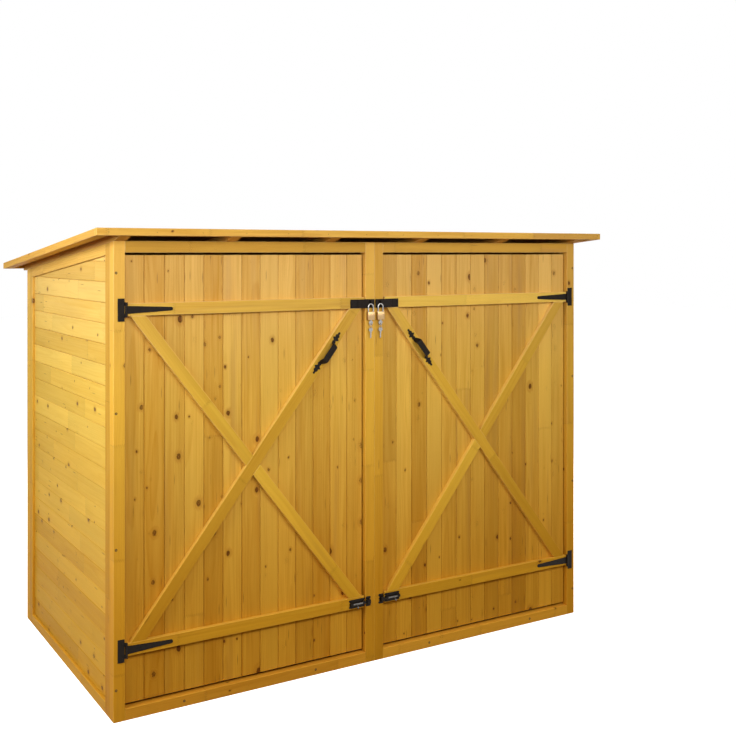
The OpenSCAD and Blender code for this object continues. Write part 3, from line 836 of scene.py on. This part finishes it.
def boarded(node_name, body, along, outward, pitch, start, seed, finish):
    """Matching boards in the place of each solid of a CAD panel, trimmed to its outline."""
    along, outward = Vector(along), Vector(outward)
    across = along.cross(outward)
    done = []
    for number, panel in enumerate(solids_of(node_name)):
        panel.normal_update()
        low_a, high_a = extent(panel, along)
        low_c, high_c = extent(panel, across)
        low_o, high_o = extent(panel, outward)
        origin = along * (low_a - saw_spare) + across * (low_c + start) + outward * high_o
        length = high_a - low_a + 2 * saw_spare
        board = one_board(origin, along, across, outward, length, pitch, high_o - low_o)
        count = math.ceil((high_c - low_c - start) / pitch)
        mesh = grown(
            board, row_of_boards, count=count, pitch=across * pitch, seed=seed + number, finish=finish,
        )
        row = bmesh.new()
        row.from_mesh(mesh)
        for face in panel.faces:
            if abs(face.normal.dot(outward)) < 0.5:
                whole = row.verts[:] + row.edges[:] + row.faces[:]
                bmesh.ops.bisect_plane(
                    row, geom=whole, plane_co=face.verts[0].co, plane_no=face.normal, clear_outer=True,
                )
                cut_edges = [edge for edge in row.edges if edge.is_boundary]
                bmesh.ops.holes_fill(row, edges=cut_edges, sides=0)
        panel.free()
        done.append(row)
    mesh = plain_mesh(node_name + "_matched", done, finish)
    put(node_name + "_matched", mesh, body, slot_of[node_name], node_name)


# The first joint between boards is one pitch above the bottom rail
wall_start = wall_groove_depth - wall_pitch
for node_name, along, outward, seed in (
    ("left_wall_boards", (0, 1, 0), (-1, 0, 0), 11),
    ("right_wall_boards", (0, -1, 0), (1, 0, 0), 23),
    ("back_boards", (1, 0, 0), (0, 1, 0), 37),
):
    boarded(node_name, "store", along, outward, wall_pitch, wall_start, seed, wall_board_finish)

# ---------------------------------------------------------------- Roof
# Six rafters carry thin matching boards under mineral felt. Two felt strips lap halfway down the
# fall, held by clout nails. Edge boards close the roof all round, pinned with small nails.

roof_boards_across = 12.5
felt_t = 0.0015
felt_lap = 0.08
felt_ramp = 0.006
felt_clear = 0.001
felt_columns = 48
felt_steps = 12
felt_ripple = 0.0002
nail_foot_depth = 0.0002
nail_rim_rise = 0.35
nail_crown_r = 0.6
clout_spacing = 0.1
lap_clout_spacing = 0.06
clout_inset = 0.014
pin_spacing = 0.155
pin_inset = 0.04
pin_below_middle = 0.001
pin_sunk = 0.00023

roof_finish = stained("stained_roof_timber", knots=0.2, joint_spacing=0.7, light=(0.72, 0.37, 0.04, 1))
roof_board_finish = stained(
    "stained_roof_boards", knots=0.3, joint_spacing=9.0, light=(0.64, 0.31, 0.035, 1),
)
edge_finish = stained("stained_edge_boards", knots=0.18, joint_spacing=0.36)
timber("rafters", "store", roof_finish)
for node_name in ("front_fascia", "back_fascia", "side_fascias"):
    timber(node_name, "store", edge_finish)

rightward = Vector((1, 0, 0))
deck = solids_of("roof_boards")[0]
deck.normal_update()
top_face = max((face for face in deck.faces if face.normal.z > 0), key=lambda face: face.calc_area())
roof_up = top_face.normal.copy()
down_slope = rightward.cross(-roof_up)
run_low, run_high = extent(deck, down_slope)
deck_pitch = (run_high - run_low) / roof_boards_across
deck.free()
boarded("roof_boards", "store", rightward, -roof_up, deck_pitch, 0.0, 51, roof_board_finish)

felt = solids_of("roof_felt")[0]
felt_bottom = extent(felt, roof_up)[0]
felt_run_low, felt_run_high = extent(felt, down_slope)
felt_left, felt_right = extent(felt, rightward)
felt.free()
felt_middle = (felt_run_low + felt_run_high) / 2


def on_roof(x, run, rise):
    """A point over the deck: across the roof, down its fall, and up from under the felt."""
    return rightward * x + down_slope * run + roof_up * (felt_bottom + rise)


def felt_group():
    """Bitumen felt faced with crushed slate: granules in greys, worn thin in patches."""
    tree, given = group_of("mineral_felt", {"Place": None, "Eased Or Lit": 0.0})
    granules = node(tree, "ShaderNodeTexVoronoi", {"Vector": given["Place"], "Scale": 620.0})
    shade = parts_of(granules["Color"])[0]
    patches = ramp(noise(given["Place"], (4, 4, 4), 4.0), 0.45, 0.75)
    colour = mixed(ramp(shade, 0.1, 0.95), (0.018, 0.018, 0.019, 1), (0.115, 0.118, 0.122, 1))
    colour = mixed(patches * 0.45, colour, (0.035, 0.034, 0.033, 1))
    colour = mixed(ramp(shade, 0.93, 0.97, 0.0, 0.7), colour, (0.30, 0.30, 0.29, 1))
    return closed_group(tree, colour, ramp(shade, 0.0, 1.0, 0.82, 0.97), 1.0 - granules["Distance"] * 1.2)


felt_finish = finished_material("mineral_felt", felt_group(), {}, 0.0006, {"Specular IOR Level": 0.25})


def felt_strip(profile):
    """A strip laid across the roof over a profile of runs and rises, a little uneven on top."""
    strip = bmesh.new()
    rings = []
    for step in range(felt_columns + 1):
        x = felt_left + (felt_right - felt_left) * step / felt_columns
        ring = [strip.verts.new(on_roof(x, run, rise)) for run, rise in profile]
        for run, rise in reversed(profile):
            ripple = felt_ripple * abs(math.sin(9 * x + 14 * run) * math.sin(5 * x))
            ring.append(strip.verts.new(on_roof(x, run, rise + felt_t + ripple)))
        rings.append(ring)
    for first, second in zip(rings, rings[1:]):
        bridge(strip, first, second)
    for ring in (rings[0], rings[-1]):
        for i in range(len(profile) - 1):
            strip.faces.new((ring[i], ring[i + 1], ring[-2 - i], ring[-1 - i]))
    bmesh.ops.recalc_face_normals(strip, faces=strip.faces)
    return strip


def stepped(low, high, count):
    return [low + (high - low) * step / count for step in range(count + 1)]


def evenly(low, high, spacing):
    return stepped(low, high, max(1, round((high - low) / spacing)))


lap_top = felt_middle - felt_lap / 2
lap_end = felt_middle + felt_lap / 2
lower_profile = [(run, 0) for run in stepped(lap_top, felt_run_high, felt_steps)]
upper_profile = [(run, 0) for run in stepped(felt_run_low, lap_top - felt_ramp, felt_steps)]
upper_profile += [(lap_top - felt_clear, felt_t), (felt_middle, felt_t), (lap_end, felt_t)]
felt_strips = [felt_strip(lower_profile), felt_strip(upper_profile)]
felt_mesh = plain_mesh("roof_felt_strips", felt_strips, felt_finish, smooth_below=30)
put("roof_felt_strips", felt_mesh, "store", "felt", "roof_felt")

zinc = metal_group("zinc_coat", (0.36, 0.37, 0.38, 1), (0.62, 0.62, 0.62, 1), 160, (0.38, 0.62))
zinc_finish = finished_material("zinc_nails", zinc, {"Patch Share": 0.5}, 0.00005, {"Metallic": 0.85})


def domed_head(name, radius, rise, sides):
    """A nail's head: a low dome, facing +Z."""
    solid = bmesh.new()
    foot = ring_of(solid, radius, -nail_foot_depth, sides)
    rim = ring_of(solid, radius, rise * nail_rim_rise, sides)
    crown = ring_of(solid, radius * nail_crown_r, rise, sides)
    bridge(solid, foot, rim)
    bridge(solid, rim, crown)
    solid.faces.new(foot)
    solid.faces.new(crown)
    return head_object(name, solid)


clout_head = domed_head("clout", radius=0.0042, rise=0.0009, sides=12)
clout_left, clout_right = felt_left + clout_inset, felt_right - clout_inset
clout_low, clout_high = felt_run_low + clout_inset, felt_run_high - clout_inset
clout_places = []
for x in evenly(clout_left, clout_right, clout_spacing):
    clout_places += [(x, clout_low, felt_t), (x, clout_high, felt_t)]
for run in evenly(clout_low, clout_high, clout_spacing)[1:-1]:
    clout_places += [(clout_left, run, felt_t), (clout_right, run, felt_t)]
for x in evenly(clout_left, clout_right, lap_clout_spacing):
    clout_places.append((x, lap_end - clout_inset, 2 * felt_t))
clout_marks = [(on_roof(*place), roof_up) for place in clout_places]
studs("felt_clouts", clout_marks, clout_head, zinc_finish, "store", "chrome", seed=5)

pin_head = domed_head("edge_pin", radius=0.0016, rise=0.0003, sides=8)
edge_low, edge_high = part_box("front_fascia")
back_low, back_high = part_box("back_fascia")
pin_marks = []
for facing, y, z in (
    (forward, edge_low.y + pin_sunk, (edge_low.z + edge_high.z) / 2 - pin_below_middle),
    (backward, back_high.y - pin_sunk, (back_low.z + back_high.z) / 2 - pin_below_middle),
):
    for x in evenly(edge_low.x + pin_inset, edge_high.x - pin_inset, pin_spacing):
        pin_marks.append(((x, y, z), facing))
studs("edge_pins", pin_marks, pin_head, dark_screw_finish, "store", "black_iron", seed=6)

# ---------------------------------------------------------------- Doors
# Each door is thirteen upright matching boards on two ledges and crossed braces. One brace runs
# whole, and the other is cut against it. The boards are nailed on from inside the store.

boards_in_door = 13
ripped_edge = 0.006
ledge_nail_insets = (0.012, 0.029)
brace_nail_clear = 0.03

door_board_finish = stained(
    "stained_door_boards", knots=0.40, knot_size=0.78, joint_spacing=2.4, figure=0.85, grey=0.4,
    edge=edge_pooled, edge_share=0.12, light=(0.80, 0.475, 0.07, 1),
)
# The braces take much of the pale edge colour on their eased edges and lit sides: painted highlight, with
# thinner stain on the edges
brace_finish = stained(
    "stained_braces", knots=0.08, joint_spacing=0.55, figure=0.55, light=(0.84, 0.52, 0.055, 1),
    edge_share=0.6,
)
nail_head = domed_head("board_nail", radius=0.0024, rise=0.0004, sides=8)
brace_up = {}
for hand, seed in (("left", 61), ("right", 83)):
    door = hand + "_door"
    board_low, board_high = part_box(hand + "_door_boards")
    door_pitch = (board_high.x - board_low.x + 2 * ripped_edge) / boards_in_door
    boarded(
        hand + "_door_boards", door, (0, 0, 1), forward, door_pitch, -ripped_edge, seed, door_board_finish,
    )
    for part in ("_door_ledges", "_door_main_brace", "_door_cross_brace"):
        timber(hand + part, door, brace_finish, painted_lit_sides=True)

    brace = solids_of(hand + "_door_main_brace")[0]
    way = length_way(brace)
    brace.free()
    brace_up[hand] = way if way.z > 0 else -way
    steepness = abs(way.z / way.x)
    door_middle_x = (board_low.x + board_high.x) / 2
    brace_low, brace_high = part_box(hand + "_door_main_brace")
    brace_middle_z = (brace_low.z + brace_high.z) / 2
    ledge_low, ledge_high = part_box(hand + "_door_ledges")
    nail_marks = []
    for number in range(boards_in_door):
        x = board_low.x - ripped_edge + (number + 0.5) * door_pitch
        heights = [ledge_low.z + inset for inset in ledge_nail_insets]
        heights += [ledge_high.z - inset for inset in ledge_nail_insets]
        rise = abs(x - door_middle_x) * steepness
        if brace_nail_clear < rise < (brace_high.z - brace_low.z) / 2 - brace_nail_clear:
            heights += [brace_middle_z + rise, brace_middle_z - rise]
        nail_marks += [((x, board_high.y, z), backward) for z in heights]
    studs(hand + "_door_nails", nail_marks, nail_head, zinc_finish, door, "chrome", seed=seed)

# ---------------------------------------------------------------- Hinges
# Black T-hinges stamped from plate, with a rolled knuckle: a plate on the post, and a tapered
# strap along the ledge. Each is held by black cross-head screws.

iron_easing = 0.0004
hinge_t = 0.0025
plate_screw_inset = 0.010
plate_screws = ((0.001, -0.029), (-0.004, -0.0195), (-0.004, 0.0195), (0.001, 0.029))
strap_half_w = 0.013
pin_from_strap_end = 0.004
strap_screw_runs = (0.046, 0.094, 0.143)


def metalwork(node_name, body, easing=iron_easing, finish=iron_finish, suffix="_coated"):
    """Metal in the shape of a CAD piece, with its edges eased."""
    solids = solids_of(node_name)
    for solid in solids:
        ease(solid, easing, segments=1, sharper_than=40)
    mesh = plain_mesh(node_name + suffix, solids, finish, smooth_below=35)
    put(node_name + suffix, mesh, body, slot_of[node_name], node_name)


metalwork("post_hinge_plates", "store")
for hand in ("left", "right"):
    metalwork(hand + "_hinge_straps", hand + "_door")

iron_screw_head = cross_head("iron_screw", radius=0.0039, rise=0.0008, sink=0.0013)
plate_front_y = store_corner.y - hinge_t
plate_screw_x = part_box("post_hinge_plates")[1].x - plate_screw_inset
strap_low, strap_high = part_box("left_hinge_straps")
strap_heights = (strap_low.z + strap_half_w, strap_high.z - strap_half_w)
plate_marks = []
for side in (-1, 1):
    for z in strap_heights:
        for over, up in plate_screws:
            plate_marks.append(((side * (plate_screw_x + over), plate_front_y, z + up), forward))
studs("hinge_plate_screws", plate_marks, iron_screw_head, iron_finish, "store", "black_iron", seed=8)
for hand, side in (("left", -1), ("right", 1)):
    pin_x = -strap_low.x - pin_from_strap_end
    marks = []
    for run in strap_screw_runs:
        marks += [((side * (pin_x - run), plate_front_y, z), forward) for z in strap_heights]
    studs(hand + "_strap_screws", marks, iron_screw_head, iron_finish, hand + "_door", "black_iron", seed=9)

# ---------------------------------------------------------------- Hasps and padlocks
# A black hasp on each top ledge reaches over a staple on the centre post. A small brass padlock
# with a plated shackle hangs in each, with its keys on a ring.

hasp_screw_runs = (0.0055, 0.026)
hasp_screw_inset = 0.007
case_easing = 0.0011
plug_r = 0.0052
plug_t = 0.0004
keyway = [(-0.0006, -0.003), (0.0006, -0.003), (0.0006, 0.0024), (-0.0006, 0.0024)]
key_t = 0.0018
bow_r = 0.009
bow_gap = 0.16
bow_lobes = 0.07
bow_steps = 28
bow_hole_r = 0.0024
hole_up_first, hole_up_spare = 0.0045, 0.0062
neck_len = 0.002
tip_uncut = 0.005
tip_half_w = 0.0008
key_easing = 0.00025
key_gap = 0.002
blade_half_w = 0.0031
bitting = (0.0, 0.0011, 0.0004, 0.0015, 0.0006, 0.0012, 0.0002)
ring_r = 0.007
ring_wire_r = 0.0008
spare_below_ring = 0.006
upward = Vector((0, 0, 1))


def brushed_group():
    """Brass drawn over fine grit: hair lines along the body, warm tarnish towards the edges."""
    inputs = {"Place": None, "Eased Or Lit": 0.0, "Colour": (0.44, 0.29, 0.14, 1)}
    tree, given = group_of("brushed_metal", inputs)
    hairs = noise(given["Place"], (60, 60, 5200), 2.0)
    tarnish = noise(given["Place"], (140, 140, 140), 3.0)
    colour = mixed(ramp(tarnish, 0.45, 0.8, 0.0, 0.5), given["Colour"], (0.42, 0.25, 0.10, 1))
    colour = mixed(given["Eased Or Lit"] * 0.4, colour, (0.68, 0.52, 0.32, 1))
    return closed_group(tree, colour, ramp(hairs, 0.3, 0.7, 0.26, 0.42), hairs)


# The plating's colour is darker than bright chrome, and its patches darker still: painted reflection of dark
# surroundings, with some real scuffs.
plating_scuffs_and_reflection = metal_group("plating_scuffs_and_reflection", (0.40, 0.385, 0.36, 1), (0.05, 0.045, 0.04, 1), 260, (0.12, 0.3))
bare_metal = {"Metallic": 1.0}
brass_finish = finished_material("brushed_brass", brushed_group(), {"Eased Or Lit": "eased_or_lit"}, 0.00004, bare_metal)
chrome_finish = finished_material("chrome_plate", plating_scuffs_and_reflection, {"Patch Share": 0.8}, 0.00003, bare_metal)


def flat_plate(outline, holes, thickness, easing, segments=1):
    """A plate cut from an outline with holes in it, its back at 0 and its front edges eased."""
    plate = bmesh.new()
    backs, fronts = [], []
    for loop in [outline] + holes:
        low = [plate.verts.new((a, b, 0)) for a, b in loop]
        high = [plate.verts.new((a, b, thickness)) for a, b in loop]
        bridge(plate, low, high)
        backs += loop_edges(plate, low)
        fronts += loop_edges(plate, high)
    bmesh.ops.triangle_fill(plate, edges=backs, use_beauty=True)
    bmesh.ops.triangle_fill(plate, edges=fronts, use_beauty=True)
    bmesh.ops.dissolve_limit(plate, angle_limit=math.radians(0.5), verts=[], edges=plate.edges)
    bmesh.ops.recalc_face_normals(plate, faces=plate.faces)
    if easing:
        ease(plate, easing, segments=segments, sharper_than=50)
    return plate


def circle(radius, count, a=0.0, b=0.0):
    turns = [2 * math.pi * number / count for number in range(count)]
    return [(a + radius * math.cos(turn), b + radius * math.sin(turn)) for turn in turns]


def stood(solid, origin, first, second, outward):
    """Moves a solid drawn flat at the origin to its place: its axes go to the three directions."""
    turn = Matrix((first, second, outward)).transposed().to_4x4()
    solid.transform(Matrix.Translation(origin) @ turn)
    if turn.determinant() < 0:
        bmesh.ops.reverse_faces(solid, faces=solid.faces)
    return solid


def wire_ring(radius, wire_r, turns=32, sides=8):
    """A ring of round wire in the plane of its first two directions."""
    ring = bmesh.new()
    rows = []
    for turn in range(turns):
        angle = 2 * math.pi * turn / turns
        section = [(radius + over, up) for over, up in circle(wire_r, sides)]
        rows.append([ring.verts.new((r * math.cos(angle), r * math.sin(angle), up)) for r, up in section])
    for turn in range(turns):
        bridge(ring, rows[turn - 1], rows[turn])
    bmesh.ops.recalc_face_normals(ring, faces=ring.faces)
    return ring


def key_solid(hole_up, blade_up, length):
    """A flat key: a three-lobed bow with a hole for the ring, and a cut blade."""
    lobes = []
    for number in range(bow_steps):
        turn = math.pi * (1.5 + bow_gap) + 2 * math.pi * (1 - bow_gap) * number / (bow_steps - 1)
        reach = bow_r * (1 - bow_lobes + bow_lobes * math.cos(3 * (turn - math.pi / 2)))
        lobes.append((reach * math.cos(turn), reach * math.sin(turn)))
    cuts = []
    for number, depth in enumerate(bitting):
        down = -bow_r - neck_len - (length - tip_uncut) * (number + 1) / (len(bitting) + 1)
        cuts.append((blade_half_w - depth, down))
    back = [(-blade_half_w, -bow_r - 0.0015), (-blade_half_w, -bow_r - length + 0.002)]
    outline = lobes + back + [(-tip_half_w, -bow_r - length)] + cuts[::-1]
    key = flat_plate(outline, [circle(bow_hole_r, 14, 0.0, hole_up)], key_t, key_easing)
    if blade_up:
        key.transform(Matrix.Diagonal((-1, -1, 1, 1)))
    return key


metalwork("hasp_staples", "store")
for hand, side in (("left", -1), ("right", 1)):
    metalwork(hand + "_hasp", hand + "_door")
    hasp_low, hasp_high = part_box(hand + "_hasp")
    hinge_side_x = max(abs(hasp_low.x), abs(hasp_high.x))
    marks = []
    for run in hasp_screw_runs:
        for z in (hasp_low.z + hasp_screw_inset, hasp_high.z - hasp_screw_inset):
            marks.append(((side * (hinge_side_x - run), plate_front_y, z), forward))
    studs(hand + "_hasp_screws", marks, iron_screw_head, iron_finish, hand + "_door", "black_iron", seed=12)

for hand in ("left", "right"):
    door = hand + "_door"
    metalwork(hand + "_padlock_shackle", door, iron_easing, chrome_finish, "_plated")
    lock_low, lock_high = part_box(hand + "_padlock_body")
    lock_middle = (lock_low + lock_high) / 2
    case = solids_of(hand + "_padlock_body")
    for solid in case:
        ease(solid, case_easing, sharper_than=50)
    plug = flat_plate(circle(plug_r, 24), [keyway], plug_t, 0)
    plug_place = Vector((lock_middle.x, lock_middle.y, lock_low.z))
    stood(plug, plug_place, rightward, backward, -upward)
    mesh = plain_mesh(hand + "_padlock_case", case + [plug], brass_finish, smooth_below=35)
    put(hand + "_padlock_case", mesh, door, "brass", hand + "_padlock_body")

    # One key is in the lock, blade up, and the spare hangs from it on the ring
    keys_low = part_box(hand + "_keys")[0]
    key_back_y = lock_middle.y + key_t / 2
    first_bow_z = lock_low.z - key_gap - bow_r
    ring_z = first_bow_z - bow_r - key_gap
    spare_bow_z = ring_z - ring_r - spare_below_ring
    first_key = key_solid(hole_up_first, True, lock_low.z - first_bow_z - bow_r)
    spare_key = key_solid(hole_up_spare, False, spare_bow_z - bow_r - keys_low.z)
    solids = []
    for solid, z in ((first_key, first_bow_z), (spare_key, spare_bow_z)):
        solids.append(stood(solid, Vector((lock_middle.x, key_back_y, z)), rightward, upward, forward))
    ring_place = Vector((lock_middle.x, lock_middle.y, ring_z))
    solids.append(stood(wire_ring(ring_r, ring_wire_r), ring_place, forward, upward, rightward))
    mesh = plain_mesh(hand + "_key_pair", solids, chrome_finish, smooth_below=35)
    put(hand + "_key_pair", mesh, door, "chrome", hand + "_keys")

# ---------------------------------------------------------------- Pull handles
# A forged-style black pull on each main brace: a flat grip with sloping shoulders that stands off
# between two leaf-shaped end plates, each held by one screw.

handle_len = 0.180
end_plate_len = 0.047
end_plate_t = 0.0026
leaf_easing = 0.0007
leaf_screw_run = 0.0305
grip_t = 0.004
# Half of a leaf's outline: how far out from the grip, and half the width there
leaf_half = (
    (0.0, 0.0050), (0.005, 0.0080), (0.0095, 0.0048), (0.014, 0.0075), (0.0175, 0.0128), (0.0205, 0.0122),
    (0.0245, 0.0066), (0.029, 0.0084), (0.033, 0.0074), (0.0375, 0.0034), (0.041, 0.0044), (0.0445, 0.0036),
    (0.047, 0.0),
)
# Half of the grip's line: how far from the middle, how far off the brace, and half the width there
grip_line = (
    (0.0440, 0.0020, 0.0052), (0.0425, 0.0035, 0.0062), (0.0405, 0.0080, 0.0090), (0.0375, 0.0150, 0.0106),
    (0.0345, 0.0220, 0.0113), (0.0320, 0.0262, 0.0115), (0.0290, 0.0278, 0.0115), (0.0200, 0.0280, 0.0113),
)
grip_section = ((-1, -0.55), (-0.9, -1), (0.9, -1), (1, -0.55), (1, 0.45), (0.86, 1), (-0.86, 1), (-1, 0.45))


def flowing(points, steps):
    """A smooth line through points."""
    ends = [points[0], *points, points[-1]]
    line = []
    for near in zip(ends, ends[1:], ends[2:], ends[3:]):
        before, start, end, after = [Vector(point) for point in near]
        for step in range(steps):
            t = step / steps
            line.append(tuple(0.5 * (
                2 * start + (end - before) * t + (2 * before - 5 * start + 4 * end - after) * t * t
                + (3 * start - before - 3 * end + after) * t * t * t
            )))
    return line + [tuple(points[-1])]


def swept_grip(stations):
    """A flat bar along a line that rises off the brace. Each ring lies square to the line."""
    bar = bmesh.new()
    bar.faces.layers.float.new("eased_or_lit")
    rings = []
    for number, (run, reach, half_w) in enumerate(stations):
        ahead = Vector(stations[min(number + 1, len(stations) - 1)][:2])
        behind = Vector(stations[max(number - 1, 0)][:2])
        way = (ahead - behind).normalized()
        normal = Vector((-way.y, way.x))
        if normal.y < 0:
            normal = -normal
        ring = []
        for over, out in grip_section:
            lift = out * grip_t / 2
            ring.append(bar.verts.new((run + normal.x * lift, over * half_w, reach + normal.y * lift)))
        rings.append(ring)
    for first, second in zip(rings, rings[1:]):
        bridge(bar, first, second)
    bar.faces.new(rings[0])
    bar.faces.new(rings[-1])
    bmesh.ops.recalc_face_normals(bar, faces=bar.faces)
    return bar


half_leaf = flowing(leaf_half, 4)
leaf_outline = half_leaf + [(run, -width) for run, width in half_leaf[-2::-1]]
right_half = flowing(grip_line, 3)
grip_stations = [(-run, reach, width) for run, reach, width in right_half] + right_half[::-1]
for hand in ("left", "right"):
    door = hand + "_door"
    handle_low, handle_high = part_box(hand + "_handle")
    handle_middle = (handle_low + handle_high) / 2
    brace_face = Vector((handle_middle.x, store_corner.y, handle_middle.z))
    up_brace = brace_up[hand]
    over_brace = forward.cross(up_brace)
    parts = []
    marks = []
    for end in (-1, 1):
        outward = up_brace * end
        leaf = flat_plate(leaf_outline, [], end_plate_t, leaf_easing, 2)
        leaf_start = brace_face + outward * (handle_len / 2 - end_plate_len)
        parts.append(stood(leaf, leaf_start, outward, over_brace, forward))
        marks.append((leaf_start + outward * leaf_screw_run + forward * end_plate_t, forward))
    parts.append(stood(swept_grip(grip_stations), brace_face, up_brace, over_brace, forward))
    mesh = plain_mesh(hand + "_pull_handle", parts, iron_finish, smooth_below=32)
    put(hand + "_pull_handle", mesh, door, "black_iron", hand + "_handle")
    studs(hand + "_handle_screws", marks, iron_screw_head, iron_finish, door, "black_iron", seed=15)

# ---------------------------------------------------------------- Barrel bolts
# A plated rod slides in two bent guides on a scalloped black plate, and shoots into a keeper on the
# centre post. Its knob lets a thumb draw it.

bolt_plate_t = 0.002
bolt_half_h = 0.0155
rod_reach = 0.007
rod_easing = 0.0006
guide_bore_r = 0.0041
guide_len = 0.010
guide_r = 0.006
guide_from_end = 0.003
bolt_screw_inset = 0.0085
bolt_screw_lift = 0.0112
keeper_len = 0.020
keeper_half_h = 0.0175
keeper_loop_len = 0.014
loop_easing = 0.0003
keeper_screw_lift = 0.0128
# A scalloped end: how far in from the plate's end, and how high as a share of half its height
scallop_half = [
    (0.0006, 0.0), (0.0030, 0.12), (0.0048, 0.30), (0.0022, 0.52), (0.0, 0.74), (0.0015, 0.95),
    (0.0050, 1.0),
]
# The keeper's loop over the rod, from outside and from inside: height, and reach from the post
loop_outside = [(0.008, 0.002), (0.008, 0.0118), (0.0058, 0.014)]
loop_inside = [(0.006, 0.002), (0.006, 0.0105), (0.0045, 0.012)]

bolt_screw_head = cross_head("bolt_screw", radius=0.0029, rise=0.0007, sink=0.0011)
# The rods are painted much darker than the plating: painted reflection of dark surroundings.
rod_dark_reflection_looks = {"Colour": (0.105, 0.10, 0.094, 1), "Patch Share": 0.9}
rod_dark_reflection_finish = finished_material("rod_plate_painted_dark_reflection", plating_scuffs_and_reflection, rod_dark_reflection_looks, 0.00003, bare_metal)


def scalloped_end(half_height):
    whole = [(run, -share) for run, share in scallop_half[:0:-1]] + scallop_half
    return [(run, share * half_height) for run, share in flowing(whole, 4)]


def mirrored(half):
    return [(-height, reach) for height, reach in half[::-1]]


# A guide's side view: feet on the plate, and a half round over the rod
guide_foot = [(0.007, bolt_plate_t), (0.00686, bolt_plate_t + 0.0012)]
guide_outline = guide_foot + circle(guide_r, 32, 0.0, rod_reach)[:17] + mirrored(guide_foot)
guide_bore = circle(guide_bore_r, 24, 0.0, rod_reach)
loop_outline = loop_outside + mirrored(loop_outside) + (loop_inside + mirrored(loop_inside))[::-1]


bolt_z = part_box("left_bolt_plate")[0].z + bolt_half_h
for hand, side in (("left", -1), ("right", 1)):
    door = hand + "_door"
    plate_low, plate_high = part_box(hand + "_bolt_plate")
    outer_x = max(abs(plate_low.x), abs(plate_high.x))
    plate_len = plate_high.x - plate_low.x
    inward = rightward * -side
    at = Vector((side * outer_x, store_corner.y, bolt_z))
    end = scalloped_end(bolt_half_h)
    plate = flat_plate(end + [(plate_len - a, -b) for a, b in end], [], bolt_plate_t, iron_easing)
    parts = [stood(plate, at, inward, upward, forward)]
    for run in (guide_from_end, plate_len - guide_len):
        guide = flat_plate(guide_outline, [guide_bore], guide_len, iron_easing)
        parts.append(stood(guide, at + inward * run, upward, forward, inward))
    mesh = plain_mesh(hand + "_bolt_guides", parts, iron_finish, smooth_below=35)
    put(hand + "_bolt_guides", mesh, door, "black_iron", hand + "_bolt_plate")
    marks = []
    for run in (bolt_screw_inset, plate_len - bolt_screw_inset):
        for lift in (-bolt_screw_lift, bolt_screw_lift):
            marks.append((at + inward * run + upward * lift + forward * bolt_plate_t, forward))
    studs(hand + "_bolt_screws", marks, bolt_screw_head, iron_finish, door, "black_iron", seed=18)
    metalwork(hand + "_bolt_rod", hand + "_bolt", rod_easing, rod_dark_reflection_finish, "_plated")

keeper_parts = []
keeper_marks = []
keeper_x = -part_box("bolt_keepers")[0].x
for side in (-1, 1):
    inward = rightward * -side
    at = Vector((side * keeper_x, store_corner.y, bolt_z))
    end = scalloped_end(keeper_half_h) + [(keeper_len, keeper_half_h), (keeper_len, -keeper_half_h)]
    plate = flat_plate([(keeper_len - a, b) for a, b in end], [], bolt_plate_t, iron_easing)
    keeper_parts.append(stood(plate, at, inward, upward, forward))
    loop = flat_plate(loop_outline, [], keeper_loop_len, loop_easing)
    keeper_parts.append(stood(loop, at, upward, forward, inward))
    for lift in (-keeper_screw_lift, keeper_screw_lift):
        screw_place = at + inward * keeper_len / 2 + upward * lift + forward * bolt_plate_t
        keeper_marks.append((screw_place, forward))
mesh = plain_mesh("bolt_keeper_plates", keeper_parts, iron_finish, smooth_below=35)
put("bolt_keeper_plates", mesh, "store", "black_iron", "bolt_keepers")
studs("keeper_screws", keeper_marks, bolt_screw_head, iron_finish, "store", "black_iron", seed=19)
